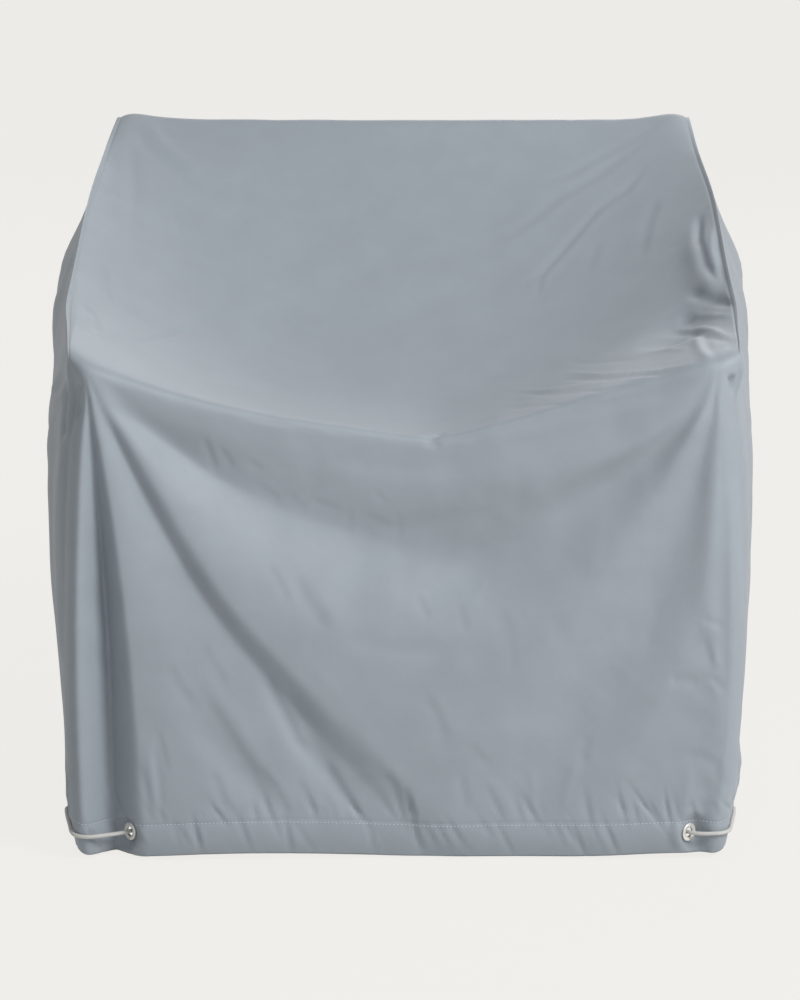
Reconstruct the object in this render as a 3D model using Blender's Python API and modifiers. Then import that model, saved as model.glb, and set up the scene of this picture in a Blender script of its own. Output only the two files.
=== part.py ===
"""Fitted cover for a patio lounge chair: a main panel that runs from the front hem over the
seat and the back to the rear hem, two side panels, four rolled eyelets and two draw cords.

The shape is worked out in the hem's frame (x across, y back from the front, z up from the lowest
point of the hem) and then moved, so that the origin lies under the cloth at the middle of the top
edge, where the back of a chair holds the cover up.
"""

import math

import bmesh
import bpy
import numpy as np
from mathutils import Matrix, Vector

CLOTH = 0.002
GAP = 0.00032
MOUNT_IN_HEM_FRAME = (0.0, 0.750, 0.9085)

# Grid of the cloth. Runs of even columns cross the main panel, each from one u to the next, with a
# cell of its own for each front eyelet. Rows go up the front and over the seat, and the rear mirrors
# the front. The side panels share the seams' rows.
COLUMN_RUNS = (
    # from u, to u, columns
    (-1.000, -0.930, 3),
    (-0.930, -0.836, 5),
    (-0.836, -0.786, 1),
    (-0.786, -0.500, 9),
    (-0.500, 0.400, 14),
    (0.400, 0.832, 8),
    (0.832, 0.882, 1),
    (0.882, 0.930, 2),
    (0.930, 1.000, 3),
)
FRONT_ROWS = (
    *(0, 0.035, 0.078, 0.135, 0.20, 0.27, 0.34, 0.41, 0.48, 0.55),
    *(0.62, 0.69, 0.76, 0.82, 0.87, 0.91, 0.945, 0.975, 1),
)
SEAT_ROWS = (
    *(0, 0.03, 0.06, 0.09, 0.12, 0.16, 0.21, 0.27, 0.34, 0.41),
    *(0.48, 0.55, 0.62, 0.69, 0.76, 0.83, 0.89, 0.95, 1),
)
CORNER_SHARE = 0.93
CORNER_BEND = 0.022

# The seams. v runs 0 to 1 up the front, 1 to 2 over the seat and 2 to 3 down the rear.
SEAM = (
    # v, y, z, left x, right x
    (0.00, 0.030, 0.006, -0.4380, 0.4400),
    (0.07, 0.030, 0.047, -0.4440, 0.4460),
    (0.35, 0.030, 0.234, -0.4486, 0.4595),
    (0.65, 0.030, 0.430, -0.4450, 0.4560),
    (0.85, 0.030, 0.560, -0.4375, 0.4480),
    (0.94, 0.034, 0.625, -0.4270, 0.4420),
    (1.00, 0.026, 0.666, -0.4370, 0.4480),
    (1.12, 0.111, 0.699, -0.4544, 0.4578),
    (1.38, 0.294, 0.761, -0.4510, 0.4528),
    (1.62, 0.476, 0.824, -0.4460, 0.4503),
    (1.88, 0.659, 0.886, -0.4310, 0.4355),
    (2.00, 0.754, 0.918, -0.4200, 0.4300),
    (2.06, 0.770, 0.866, -0.4380, 0.4460),
    (2.16, 0.778, 0.775, -0.4740, 0.4800),
    (2.28, 0.784, 0.672, -0.5140, 0.5180),
    (2.40, 0.790, 0.560, -0.5080, 0.5150),
    (2.55, 0.796, 0.430, -0.5160, 0.5160),
    (2.75, 0.800, 0.240, -0.5120, 0.5160),
    (2.90, 0.804, 0.100, -0.5030, 0.5120),
    (3.00, 0.802, 0.008, -0.4940, 0.5040),
)

# The front's lower edge and the line where the cloth turns from the front to the seat.
HEM = (
    # x, z
    (-0.445, 0.000),
    (-0.410, -0.001),
    (-0.375, -0.002),
    (-0.330, 0.000),
    (-0.160, 0.005),
    (0.050, 0.000),
    (0.250, 0.001),
    (0.380, 0.003),
    (0.450, 0.002),
)
RIDGE = (
    # x, y, z
    (-0.437, 0.014, 0.668),
    (-0.407, 0.004, 0.658),
    (-0.366, 0.010, 0.643),
    (-0.286, 0.020, 0.618),
    (-0.172, 0.030, 0.592),
    (-0.066, 0.034, 0.576),
    (0.039, 0.036, 0.564),
    (0.145, 0.034, 0.585),
    (0.251, 0.028, 0.617),
    (0.336, 0.018, 0.640),
    (0.410, 0.006, 0.662),
    (0.448, 0.014, 0.668),
)

# The seat and the back, along the middle from the ridge to the top edge.
SEAT = (
    # v, y, z
    (1.00, 0.036, 0.568),
    (1.10, 0.105, 0.566),
    (1.25, 0.215, 0.582),
    (1.45, 0.355, 0.632),
    (1.65, 0.495, 0.708),
    (1.85, 0.640, 0.812),
    (2.00, 0.754, 0.920),
)
SEAT_HOLLOW = 2.4
TOP_EDGE_RISE = 0.009

# The rear, along its middle.
REAR = (
    # v, y, z
    (2.00, 0.754, 0.920),
    (2.05, 0.778, 0.886),
    (2.30, 0.792, 0.660),
    (2.60, 0.806, 0.380),
    (3.00, 0.812, 0.006),
)

# The lower edge of the side panels: a runs from the front seam to the rear seam.
SIDE_HEM = (
    # a, out, z
    (0.00, 0.000, 0.000),
    (0.12, 0.003, 0.005),
    (0.30, 0.005, 0.008),
    (0.65, 0.003, 0.004),
    (1.00, 0.000, 0.000),
)
# How far the left and the right side stand out past their seams, and how that is shared out along
# the depth and up the height.
SIDE_BELLY = {-1: 0.010, 1: 0.005}
BELLY_DEPTH = (
    # a, share
    (0.00, 0.00),
    (0.06, 0.85),
    (0.15, 1.00),
    (0.25, 0.85),
    (0.45, -0.05),
    (0.62, -0.35),
    (0.80, 0.25),
    (1.00, 0.00),
)
BELLY_HEIGHT = (
    # b, share
    (0.00, 0.00),
    (0.06, 0.50),
    (0.12, 0.20),
    (0.22, 0.00),
    (0.32, 0.15),
    (0.46, 0.70),
    (0.62, 1.00),
    (0.80, 0.92),
    (0.90, 0.35),
    (0.96, 0.10),
    (1.00, 0.00),
)

# Folds that fan out from the ends of the arms. Each row is one crest or one valley: its angle below
# the horizontal, and its height towards the front in millimetres, at the distances in FAN_REACH.
FAN_REACH = (0.00, 0.10, 0.20, 0.32, 0.45, 0.60, 0.75, 0.90)
LEFT_APEX = (-0.410, 0.655)
LEFT_FAN = (
    # name, angles, heights
    ("corner", (100, 97, 95, 94, 93, 92, 92, 92), (0, 3, 6, 7, 7, 7, 6, 0)),
    ("valley by the corner", (91, 88, 87, 87, 87.4, 87.8, 87.6, 87), (0, -9, -20, -28, -31, -30, -22, 0)),
    ("crest by the corner", (84, 80, 80.5, 81.5, 82.5, 83.5, 84, 84), (0, 3, 6, 9, 10, 10, 8, 0)),
    ("long valley", (72, 68, 66, 64, 61, 58, 56, 55), (0, -4, -6, -7, -7, -6, -5, 0)),
    ("long crest", (60, 58.5, 59, 58.8, 56.4, 53.6, 51.3, 50), (0, 5, 7, 8, 7, 6, 5, 0)),
    ("upper valley", (48, 44, 41, 36, 31, 27, 22, 20), (0, -12, -18, -19, -14, -8, -3, 0)),
    ("ridge", (24, 23, 21, 16, 12, 11, 10, 9), (0, 0, 0, 0, 0, 0, 0, 0)),
)
RIGHT_APEX = (0.4155, 0.658)
RIGHT_FAN = (
    ("corner", (100, 93, 91, 87, 82, 78, 76, 75), (0, 1, 2, 4, 5, 4, 2, 0)),
    ("valley by the corner", (90, 82, 79, 75, 70, 67, 65, 64), (0, -4, -6, -8, -8, -6, -3, 0)),
    ("crest by the corner", (76, 68, 64, 61, 59, 58, 58, 58), (0, 4, 6, 6, 4, 3, 1, 0)),
    ("long valley", (64, 55, 48, 43, 40, 40, 40, 40), (0, -6, -8, -7, -4, -2, -1, 0)),
    ("long crest", (52, 43, 36, 34, 34, 34, 34, 34), (0, 2, 3, 3, 2, 1, 0, 0)),
    ("upper valley", (40, 32, 28, 27, 26, 26, 25, 24), (0, 0, 1, 1, 1, 0, 0, 0)),
    ("ridge", (17, 15, 14, 13, 12, 11, 10, 10), (0, 0, 0, 0, 0, 0, 0, 0)),
)
# Valleys are narrower than crests: below 1 this moves the steep part of a slope to its foot. The
# right fan's folds are rounder than the left one's.
LEFT_FOOT = 0.78
RIGHT_FOOT = 1.05

# Single folds of the front: a path on it, its half width, and its height in millimetres.
FRONT_FOLDS = (
    # name, x and z along the path, half width, height
    ("under the ridge", ((-0.13, 0.548), (-0.05, 0.538), (0.03, 0.530), (0.15, 0.545)), 0.016, -3),
    ("swag", ((-0.150, 0.448), (-0.026, 0.416), (0.077, 0.404), (0.200, 0.415)), 0.050, -12),
    ("low fold", ((-0.29, 0.215), (-0.22, 0.120), (-0.16, 0.055)), 0.022, -5),
    ("low branch", ((-0.17, 0.245), (-0.12, 0.150), (-0.06, 0.060)), 0.020, -6),
    ("right edge dent", ((0.40, 0.31), (0.42, 0.26), (0.41, 0.20)), 0.022, -3),
    ("right corner pleat", ((0.406, 0.090), (0.405, 0.050), (0.404, -0.050)), 0.012, -6),
    ("brow under the right ridge", ((0.05, 0.500), (0.18, 0.522), (0.28, 0.554), (0.45, 0.622)), 0.034, 11),
)
# The left arm's end, where the side panel stands out past the seam, and the hollow behind the
# right arm, both in millimetres.
ARM_CAPS = (
    # name, side, a, b, half width back, half width up, out
    ("left cap", -1, 0.045, 0.945, 0.050, 0.050, 8),
    ("left lens", -1, 0.240, 0.955, 0.090, 0.035, 6),
    ("right cap", 1, 0.040, 0.960, 0.045, 0.040, 9),
    ("swell behind the right eyelet", 1, 0.240, 0.070, 0.070, 0.060, 8),
)
SEAT_FOLDS = (
    # name, x and y along the path, half width, height
    ("hollow by the right arm", ((0.36, 0.14), (0.39, 0.20), (0.40, 0.27)), 0.045, -16),
    ("roll by the right seam", ((0.428, 0.22), (0.425, 0.32), (0.415, 0.44)), 0.020, 10),
)

# Eyelets: the rings' radii and how far they rise over the cloth, then each one's panel, centre and
# turn to the right of straight ahead.
LARGE_RING = {"hole": 0.0066, "barrel": 0.0075, "rim": 0.0125, "washer": 0.0110, "crown": 0.0017}
SMALL_RING = {"hole": 0.0040, "barrel": 0.0047, "rim": 0.0076, "washer": 0.0068, "crown": 0.0012}
EYELETS = (
    ("eyelet_front_left", "main_panel", (-0.3646, 0.0190, 0.0290), -47, LARGE_RING),
    ("eyelet_front_right", "main_panel", (0.3890, 0.0040, 0.0320), 42, LARGE_RING),
    ("eyelet_side_left", "side_panel_left", (-0.4510, 0.1110, 0.0370), -68, SMALL_RING),
    ("eyelet_side_right", "side_panel_right", (0.4520, 0.1110, 0.0370), 66, SMALL_RING),
)
EYELET_SIDES = 16
# The cloth is flat this far past a ring's rim, and has its own shape again this much further out.
FLAT_ROUND_EYELET = 0.0210
FLAT_BLEND = 0.016

# The draw cords: out of the hem at the front eyelet, round the corner, in at the side eyelet.
CORD = 0.0055
CORD_STEP = 0.010
CORDS = (
    (
        "draw_cord_left",
        (
            (-0.3380, 0.046, 0.0290),
            (-0.3500, 0.034, 0.0290),
            (-0.3646, 0.019, 0.0290),
            (-0.3780, 0.009, 0.0288),
            (-0.4000, -0.001, 0.0285),
            (-0.4200, -0.007, 0.0283),
            (-0.4345, -0.003, 0.0288),
            (-0.4425, 0.010, 0.0298),
            (-0.4480, 0.040, 0.0320),
            (-0.4555, 0.085, 0.0352),
            (-0.4570, 0.101, 0.0365),
            (-0.4510, 0.111, 0.0370),
            (-0.4410, 0.117, 0.0370),
            (-0.4280, 0.123, 0.0368),
        ),
    ),
    (
        "draw_cord_right",
        (
            (0.3600, 0.036, 0.0310),
            (0.3730, 0.022, 0.0315),
            (0.3890, 0.004, 0.0320),
            (0.4020, -0.004, 0.0323),
            (0.4140, -0.006, 0.0326),
            (0.4260, -0.006, 0.0330),
            (0.4390, 0.002, 0.0329),
            (0.4455, 0.014, 0.0333),
            (0.4500, 0.040, 0.0345),
            (0.4565, 0.085, 0.0362),
            (0.4580, 0.101, 0.0368),
            (0.4520, 0.111, 0.0370),
            (0.4420, 0.117, 0.0370),
            (0.4290, 0.123, 0.0368),
        ),
    ),
)
# How far each panel stops short of the seam's middle plane, square to that plane.
# The gap is wider where three seams meet.
SEAM_PULL = 0.7 * GAP
CORNER_WIDENING = 3.5


def smooth_table(rows, key, value):
    """A smooth curve through one column of a table, without overshoot, as a function of another."""
    xs = np.array([row[key] for row in rows], float)
    ys = np.array([row[value] for row in rows], float)
    return lambda x: hermite(xs, ys, np.asarray(x, float))


def hermite(xs, ys, x):
    """Monotone cubic through (xs, ys), read at x and held level past its ends."""
    steps = np.diff(xs)
    slopes = np.diff(ys) / steps
    tangents = np.zeros(len(xs))
    flat = slopes[1:] * slopes[:-1] <= 0
    mean = 2 * slopes[1:] * slopes[:-1] / np.where(flat, 1, slopes[1:] + slopes[:-1])
    tangents[1:-1] = np.where(flat, 0, mean)
    tangents[0], tangents[-1] = slopes[0], slopes[-1]
    x = np.clip(x, xs[0], xs[-1])
    i = np.clip(np.searchsorted(xs, x, side="right") - 1, 0, len(steps) - 1)
    t = (x - xs[i]) / steps[i]
    return (
        ys[i] * (1 + 2 * t) * (1 - t) ** 2
        + ys[i + 1] * t**2 * (3 - 2 * t)
        + steps[i] * (tangents[i] * t * (1 - t) ** 2 - tangents[i + 1] * t**2 * (1 - t))
    )


def ease(t):
    t = np.clip(t, 0, 1)
    return t * t * (3 - 2 * t)


seam_y = smooth_table(SEAM, 0, 1)
seam_z = smooth_table(SEAM, 0, 2)
seam_left = smooth_table(SEAM, 0, 3)
seam_right = smooth_table(SEAM, 0, 4)
hem_z = smooth_table(HEM, 0, 1)
ridge_y = smooth_table(RIDGE, 0, 1)
ridge_z = smooth_table(RIDGE, 0, 2)
seat_y = smooth_table(SEAT, 0, 1)
seat_z = smooth_table(SEAT, 0, 2)
rear_y = smooth_table(REAR, 0, 1)
rear_z = smooth_table(REAR, 0, 2)


def fan(x, z, apex, rows, side, foot):
    """Height of the folds that fan out from one arm's end, at points of the front."""
    across, down = -side * (x - apex[0]), apex[1] - z
    reach = np.hypot(across, down)
    angle = np.degrees(np.arctan2(down, across))
    angles = [hermite(np.array(FAN_REACH), np.array(row[1], float), reach) for row in rows]
    heights = [hermite(np.array(FAN_REACH), np.array(row[2], float), reach) for row in rows]
    height = np.where(angle >= angles[0], heights[0], 0.0)
    for i in range(len(rows) - 1):
        t = (angles[i] - angle) / (angles[i] - angles[i + 1])
        rising = np.clip(t, 0, 1) ** foot
        falling = 1 - np.clip(1 - t, 0, 1) ** foot
        share = ease(np.where(heights[i + 1] > heights[i], rising, falling))
        between = heights[i] + (heights[i + 1] - heights[i]) * share
        height = np.where((t >= 0) & (t < 1), between, height)
    return height / 1000


def single_folds(p, q, rows):
    """Height of the folds that follow a path of their own, fading at both ends."""
    total = 0.0
    for _, path, half_width, height in rows:
        points = np.array(path)
        legs = np.diff(points, axis=0)
        lengths = np.hypot(legs[:, 0], legs[:, 1])
        starts = np.concatenate([[0], np.cumsum(lengths)])
        nearest, along = np.full(np.shape(p), np.inf), np.zeros(np.shape(p))
        for (px, qx), (dp, dq), length, start in zip(points, legs, lengths, starts):
            t = np.clip(((p - px) * dp + (q - qx) * dq) / length**2, 0, 1)
            gap = np.hypot(p - px - t * dp, q - qx - t * dq)
            along = np.where(gap < nearest, start + t * length, along)
            nearest = np.minimum(nearest, gap)
        share = along / starts[-1]
        fade = 0.25 + 0.75 * ease(share / 0.3) * ease((1 - share) / 0.3)
        total = total + height / 1000 * fade * np.exp(-((nearest / half_width) ** 2))
    return total


def front_folds(x, z):
    left = fan(x, z, LEFT_APEX, LEFT_FAN, -1, LEFT_FOOT)
    right = fan(x, z, RIGHT_APEX, RIGHT_FAN, 1, RIGHT_FOOT)
    return left + right + single_folds(x, z, FRONT_FOLDS)


def front(u, v):
    """The front: upright, with the cloth wrapped back round its corners to the seams."""
    left, right, back = seam_left(v), seam_right(v), seam_y(v)
    inner_left, inner_right = left + CORNER_BEND, right - CORNER_BEND
    share = (np.clip(u, -CORNER_SHARE, CORNER_SHARE) / CORNER_SHARE + 1) / 2
    x = inner_left + (inner_right - inner_left) * share
    turn = np.clip((np.abs(u) - CORNER_SHARE) / (1 - CORNER_SHARE), 0, 1) * math.pi / 2
    x = x + np.sign(u) * CORNER_BEND * np.sin(turn)
    z = hem_z(x) + (ridge_z(x) - hem_z(x)) * v
    z = np.where(np.abs(u) > CORNER_SHARE, z + (seam_z(v) - z) * ease(turn * 2 / math.pi), z)
    y = ridge_y(x) * ease((v - 0.5) / 0.5)
    y = y - front_folds(x, z) * ease((1.0 - v) / 0.06) * np.cos(turn)
    y = y + (back - y) * (1 - np.cos(turn))
    return np.stack([x, y, z], -1)


def seat(u, v):
    """The seat and the back: a hollow between the seams, the ridge and the top edge."""
    g = v - 1
    left, right = seam_left(v), seam_right(v)
    x = left + (right - left) * (u + 1) / 2
    at_ridge = front(u, np.ones_like(u))
    x = at_ridge[..., 0] + (x - at_ridge[..., 0]) * ease(g / 0.25)
    middle = seat_z(v)
    edge = seam_z(v)
    hollow = np.abs(u) ** SEAT_HOLLOW
    at_front = (ridge_z(x) - 0.564) / (0.668 - 0.564)
    shape = at_front + (hollow - at_front) * ease(g / 0.45)
    z = middle + (edge - middle) * shape
    z = z + TOP_EDGE_RISE * ease((g - 0.8) / 0.2) * np.sin(math.pi * np.abs(u) ** 10)
    y = seat_y(v) + (seam_y(v) - seat_y(v)) * ease(np.abs(u))
    y = y + (at_ridge[..., 1] - y) * (1 - ease(g / 0.15))
    z = z + single_folds(x, y, SEAT_FOLDS) * ease(g / 0.08) * ease((1 - np.abs(u)) / 0.05)
    return np.stack([x, y, z], -1)


def rear(u, v):
    """The rear: almost flat, leaning with the back, with its corners eased round to the seams."""
    left, right = seam_left(v), seam_right(v)
    x = left + (right - left) * (u + 1) / 2
    near_edge = ease((np.abs(u) - 0.86) / 0.14)
    y = rear_y(v) + (seam_y(v) - rear_y(v)) * near_edge
    z = rear_z(v) + (seam_z(v) - rear_z(v)) * near_edge
    y = y + 0.007 * ease(v - 2) * np.sin(9 * x + 0.6) * (1 - near_edge)
    return np.stack([x, y, z], -1)


def main_sharp(u, v):
    flat = front(u, np.clip(v, 0, 1))
    hollow = seat(u, np.clip(v, 1, 2))
    back = rear(u, np.clip(v, 2, 3))
    v = v[..., None]
    return np.where(v <= 1, flat, np.where(v <= 2, hollow, back))


def main_panel(u, v):
    """The main panel, with the turns at the ridge and at the top edge rolled over."""
    at_ridge = (0.026 + 0.022 * (1 - np.abs(u) ** 3)) * (1 - ease(np.abs(v - 1) / 0.15))
    at_top = 0.018 * (1 - ease(np.abs(v - 2) / 0.10))
    roll = at_ridge + at_top
    total = 0.0
    taps = ((-1.0, 1), (-0.5, 2), (0.0, 2), (0.5, 2), (1.0, 1))
    for tap, weight in taps:
        total = total + weight * main_sharp(u, np.clip(v + tap * roll, 0, 3))
    return total / sum(weight for _, weight in taps)


def seam_point(side, v):
    return main_panel(np.full_like(v, float(side)), v)


side_hem_out = smooth_table(SIDE_HEM, 0, 1)
side_hem_z = smooth_table(SIDE_HEM, 0, 2)
belly_depth = smooth_table(BELLY_DEPTH, 0, 1)
belly_height = smooth_table(BELLY_HEIGHT, 0, 1)


def side_panel(side, a, b):
    """A side panel, between its three seams and its hem: a runs back, b runs up."""
    a, b = a[..., None], b[..., None]
    front_seam = seam_point(side, b[..., 0])
    rear_seam = seam_point(side, 3 - b[..., 0])
    top_seam = seam_point(side, 1 + a[..., 0])
    corners = [seam_point(side, np.full_like(a[..., 0], v)) for v in (0.0, 1.0, 2.0, 3.0)]
    low = corners[0] + (corners[3] - corners[0]) * a
    hem = low + np.stack(
        [side * side_hem_out(a[..., 0]), 0 * a[..., 0], side_hem_z(a[..., 0])], -1
    )
    across = front_seam * (1 - a) + rear_seam * a
    upward = hem * (1 - b) + top_seam * b
    both = (corners[0] * (1 - a) + corners[3] * a) * (1 - b)
    both = both + (corners[1] * (1 - a) + corners[2] * a) * b
    out = SIDE_BELLY[side] * belly_depth(a[..., 0]) * belly_height(b[..., 0])
    inside = ease(a[..., 0] / 0.03) * ease((1 - b[..., 0]) / 0.03)
    for _, at_side, at_a, at_b, half_a, half_b, height in ARM_CAPS:
        if at_side == side:
            away = ((a[..., 0] - at_a) / half_a) ** 2 + ((b[..., 0] - at_b) / half_b) ** 2
            out = out + height / 1000 * np.exp(-away) * inside
    return across + upward - both + np.stack([side * out, 0 * out, 0 * out], -1)


def column_values():
    runs = [np.linspace(start, end, count + 1)[:-1] for start, end, count in COLUMN_RUNS]
    return np.concatenate([*runs, [1.0]])


def row_values():
    front_v = np.array(FRONT_ROWS)
    return np.concatenate([front_v, 1 + np.array(SEAT_ROWS[1:]), 3 - front_v[-2::-1]])


def normals(points):
    """Outward normals of a grid of points, given as rows by columns by 3."""
    across = np.gradient(points, axis=1)
    upward = np.gradient(points, axis=0)
    return unit(np.cross(across, upward))


def unit(vectors):
    return vectors / np.linalg.norm(vectors, axis=-1, keepdims=True)


def press_flat(points):
    """The cloth pulled flat where each eyelet is set in it."""
    for _, _, centre, turn, ring in EYELETS:
        out = facing(turn)
        away = points - np.array(centre)
        past_flat = np.linalg.norm(away, axis=-1) - ring["rim"] - FLAT_ROUND_EYELET
        share = 1 - ease(past_flat / FLAT_BLEND)
        points = points - (away @ out * share)[..., None] * out
    return points


def facing(turn):
    """The way that an eyelet faces: turn degrees to the right of straight ahead."""
    angle = math.radians(turn)
    return np.array([math.sin(angle), -math.cos(angle), 0.0])


def new_object(name, mesh, finish, collection):
    mesh.name = name
    mesh.materials.clear()
    mesh.materials.append(finish)
    made = bpy.data.objects.new(name, mesh)
    collection.objects.link(made)
    made.location = -Vector(MOUNT_IN_HEM_FRAME)
    return made


def cloth_object(name, outer, inner, finish, collection):
    """A sheet of cloth: an open grid with Solidify, its inner side then set on the given points."""
    row_count, column_count = outer.shape[:2]
    bm = bmesh.new()
    bmesh.ops.create_grid(bm, x_segments=column_count - 1, y_segments=row_count - 1, size=1)
    sheet = bpy.data.meshes.new(name)
    bm.to_mesh(sheet)
    bm.free()
    made = new_object(name, sheet, finish, collection)
    solidify = made.modifiers.new("thickness", "SOLIDIFY")
    solidify.thickness = CLOTH
    solidify.offset = -1
    graph = bpy.context.evaluated_depsgraph_get()
    thick = bpy.data.meshes.new_from_object(made.evaluated_get(graph))
    made.modifiers.clear()
    places = np.concatenate([outer.reshape(-1, 3), inner.reshape(-1, 3)])
    thick.vertices.foreach_set("co", places.ravel())
    thick.update()
    made.data = thick
    thick.name = name


def cloth(finish, collection):
    """The three panels, mitred to each other along their seams with a hair's gap."""
    u, v = np.meshgrid(column_values(), row_values())
    outer = press_flat(main_panel(u, v))
    out = normals(outer)
    inner = outer - out * CLOTH
    turn_up = len(FRONT_ROWS) - 1
    turn_down = turn_up + len(SEAT_ROWS) - 1
    seams = (
        # rows of the main panel's edge, the side panel's border, the line of points beside it
        (np.s_[: turn_up + 1], np.s_[:, 0], np.s_[:, 1]),
        (np.s_[turn_up : turn_down + 1], np.s_[-1, :], np.s_[-2, :]),
        (np.s_[turn_down:], np.s_[::-1, -1], np.s_[::-1, -2]),
    )
    to_corner = np.minimum(np.abs(row_values() - 1), np.abs(row_values() - 2))
    widened = 1 + CORNER_WIDENING * (1 - ease(to_corner / 0.08))
    a, b = np.meshgrid(np.array(SEAT_ROWS), np.array(FRONT_ROWS))
    for side, name in ((-1, "side_panel_left"), (1, "side_panel_right")):
        side_outer = press_flat(side_panel(side, a, b))
        side_out = normals(side_outer) * side
        side_inner = side_outer - side_out * CLOTH
        edge, beside = (0, 1) if side < 0 else (-1, -2)
        main_pull = np.zeros_like(outer[:, edge])
        side_pull = np.zeros_like(side_outer)
        for seam, border, next_line in seams:
            cosine = np.sum(out[seam, edge] * side_out[border], axis=-1, keepdims=True)
            shared = outer[seam, edge] - (out[seam, edge] + side_out[border]) * CLOTH / (1 + cosine)
            side_inner[border] = shared
            inner[seam, edge] = shared
            reach = SEAM_PULL * widened[seam, None] / np.sqrt((1 + cosine) / 2)
            main_pull[seam] = reach * unit(outer[seam, beside] - outer[seam, edge])
            side_pull[border] += reach * unit(side_outer[next_line] - side_outer[border])
        outer[:, edge] += main_pull
        inner[:, edge] += main_pull
        order = np.s_[:, ::side]
        side_outer, side_inner = side_outer + side_pull, side_inner + side_pull
        cloth_object(name, side_outer[order], side_inner[order], finish, collection)
    cloth_object("main_panel", outer, inner, finish, collection)


def material(name, colour, roughness, metallic):
    made = bpy.data.materials.new(name)
    made.use_nodes = True
    shader = made.node_tree.nodes["Principled BSDF"]
    shader.inputs["Base Color"].default_value = (*colour, 1)
    shader.inputs["Roughness"].default_value = roughness
    shader.inputs["Metallic"].default_value = metallic
    return made


def ring_profile(ring):
    """Half of an eyelet's section, as radius and height over the cloth's outer side."""
    hole, barrel, rim, washer = ring["hole"], ring["barrel"], ring["rim"], ring["washer"]
    crown = ring["crown"]
    back = -CLOTH - GAP
    return (
        (hole, 0.4 * crown),
        (hole + 0.15 * (rim - hole), 0.9 * crown),
        (hole + 0.5 * (rim - hole), crown + GAP),
        (rim - 0.12 * (rim - hole), 0.75 * crown),
        (rim, GAP),
        (barrel, GAP),
        (barrel, back),
        (washer, back),
        (washer - 0.0004, back - 0.0008),
        (hole, back - 0.0010),
    )


def place(centre, turn):
    """Where an eyelet goes, its own +Z turned to face out of the cloth."""
    out = Vector(facing(turn))
    return Matrix.Translation(Vector(centre)) @ out.to_track_quat("Z", "Y").to_matrix().to_4x4()


def eyelet(name, centre, turn, ring, finish, collection):
    mesh = bpy.data.meshes.new(name)
    profile = ring_profile(ring)
    points = [(radius, 0, height) for radius, height in profile]
    edges = [(i, (i + 1) % len(points)) for i in range(len(points))]
    mesh.from_pydata(points, edges, [])
    made = new_object(name, mesh, finish, collection)
    made.matrix_world = Matrix.Translation(made.location) @ place(centre, turn)
    screw = made.modifiers.new("turned", "SCREW")
    screw.steps = screw.render_steps = EYELET_SIDES
    screw.use_merge_vertices = True
    screw.merge_threshold = 0.00005
    return made


def hole_cutter(name, centre, turn, ring, cutters):
    bm = bmesh.new()
    radius = ring["barrel"] + GAP
    bmesh.ops.create_cone(
        bm, cap_ends=True, segments=EYELET_SIDES, radius1=radius, radius2=radius, depth=0.02
    )
    mesh = bpy.data.meshes.new(name)
    bm.to_mesh(mesh)
    bm.free()
    made = bpy.data.objects.new(name, mesh)
    cutters.objects.link(made)
    made.matrix_world = Matrix.Translation(-Vector(MOUNT_IN_HEM_FRAME)) @ place(centre, turn)
    made.hide_render = True
    made.display_type = "WIRE"
    return made


def cord(name, route, finish, collection):
    """A braided draw cord: a tube along a smooth curve through its route."""
    points = np.array(route)
    legs = np.linalg.norm(np.diff(points, axis=0), axis=1)
    along = np.concatenate([[0], np.cumsum(legs)])
    count = int(along[-1] / CORD_STEP)
    at = np.linspace(0, along[-1], count + 1)
    smooth = np.stack([hermite(along, points[:, k], at) for k in range(3)], -1)
    curve = bpy.data.curves.new(name, "CURVE")
    curve.dimensions = "3D"
    curve.bevel_depth = CORD / 2
    curve.bevel_resolution = 2
    curve.use_fill_caps = True
    curve.materials.append(finish)
    spline = curve.splines.new("POLY")
    spline.points.add(len(smooth) - 1)
    for point, place_at in zip(spline.points, smooth):
        point.co = (*place_at, 1)
    made = bpy.data.objects.new(name, curve)
    collection.objects.link(made)
    made.location = -Vector(MOUNT_IN_HEM_FRAME)
    return made


def main():
    for old in list(bpy.data.objects):
        bpy.data.objects.remove(old)
    collection = bpy.data.collections.new("patio_chair_cover")
    cutters = bpy.data.collections.new("cutters")
    bpy.context.scene.collection.children.link(collection)
    bpy.context.scene.collection.children.link(cutters)
    woven = material("coated_weave", (0.30, 0.34, 0.38), 0.7, 0)
    metal = material("eyelet_metal", (0.80, 0.76, 0.70), 0.35, 1)
    braid = material("cord_braid", (0.75, 0.74, 0.72), 0.8, 0)
    cloth(woven, collection)
    for name, panel, centre, turn, ring in EYELETS:
        eyelet(name, centre, turn, ring, metal, collection)
        cut = bpy.data.objects[panel].modifiers.new("hole", "BOOLEAN")
        cut.object = hole_cutter("hole_" + name, centre, turn, ring, cutters)
        cut.solver = "EXACT"
    for name, route in CORDS:
        cord(name, route, braid, collection)


if __name__ == "__main__":
    main()
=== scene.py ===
"""Looks for the fitted cover of a patio lounge chair: its draped cloth, hem, seams, stitches,
eyelets and draw cords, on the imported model's frame.

Like the part's source, the shapes are worked out in the hem's frame (x across, y back from the
front, z up from the lowest point of the hem) and then moved by ORIGIN_IN_HEM_FRAME.
"""

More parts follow.
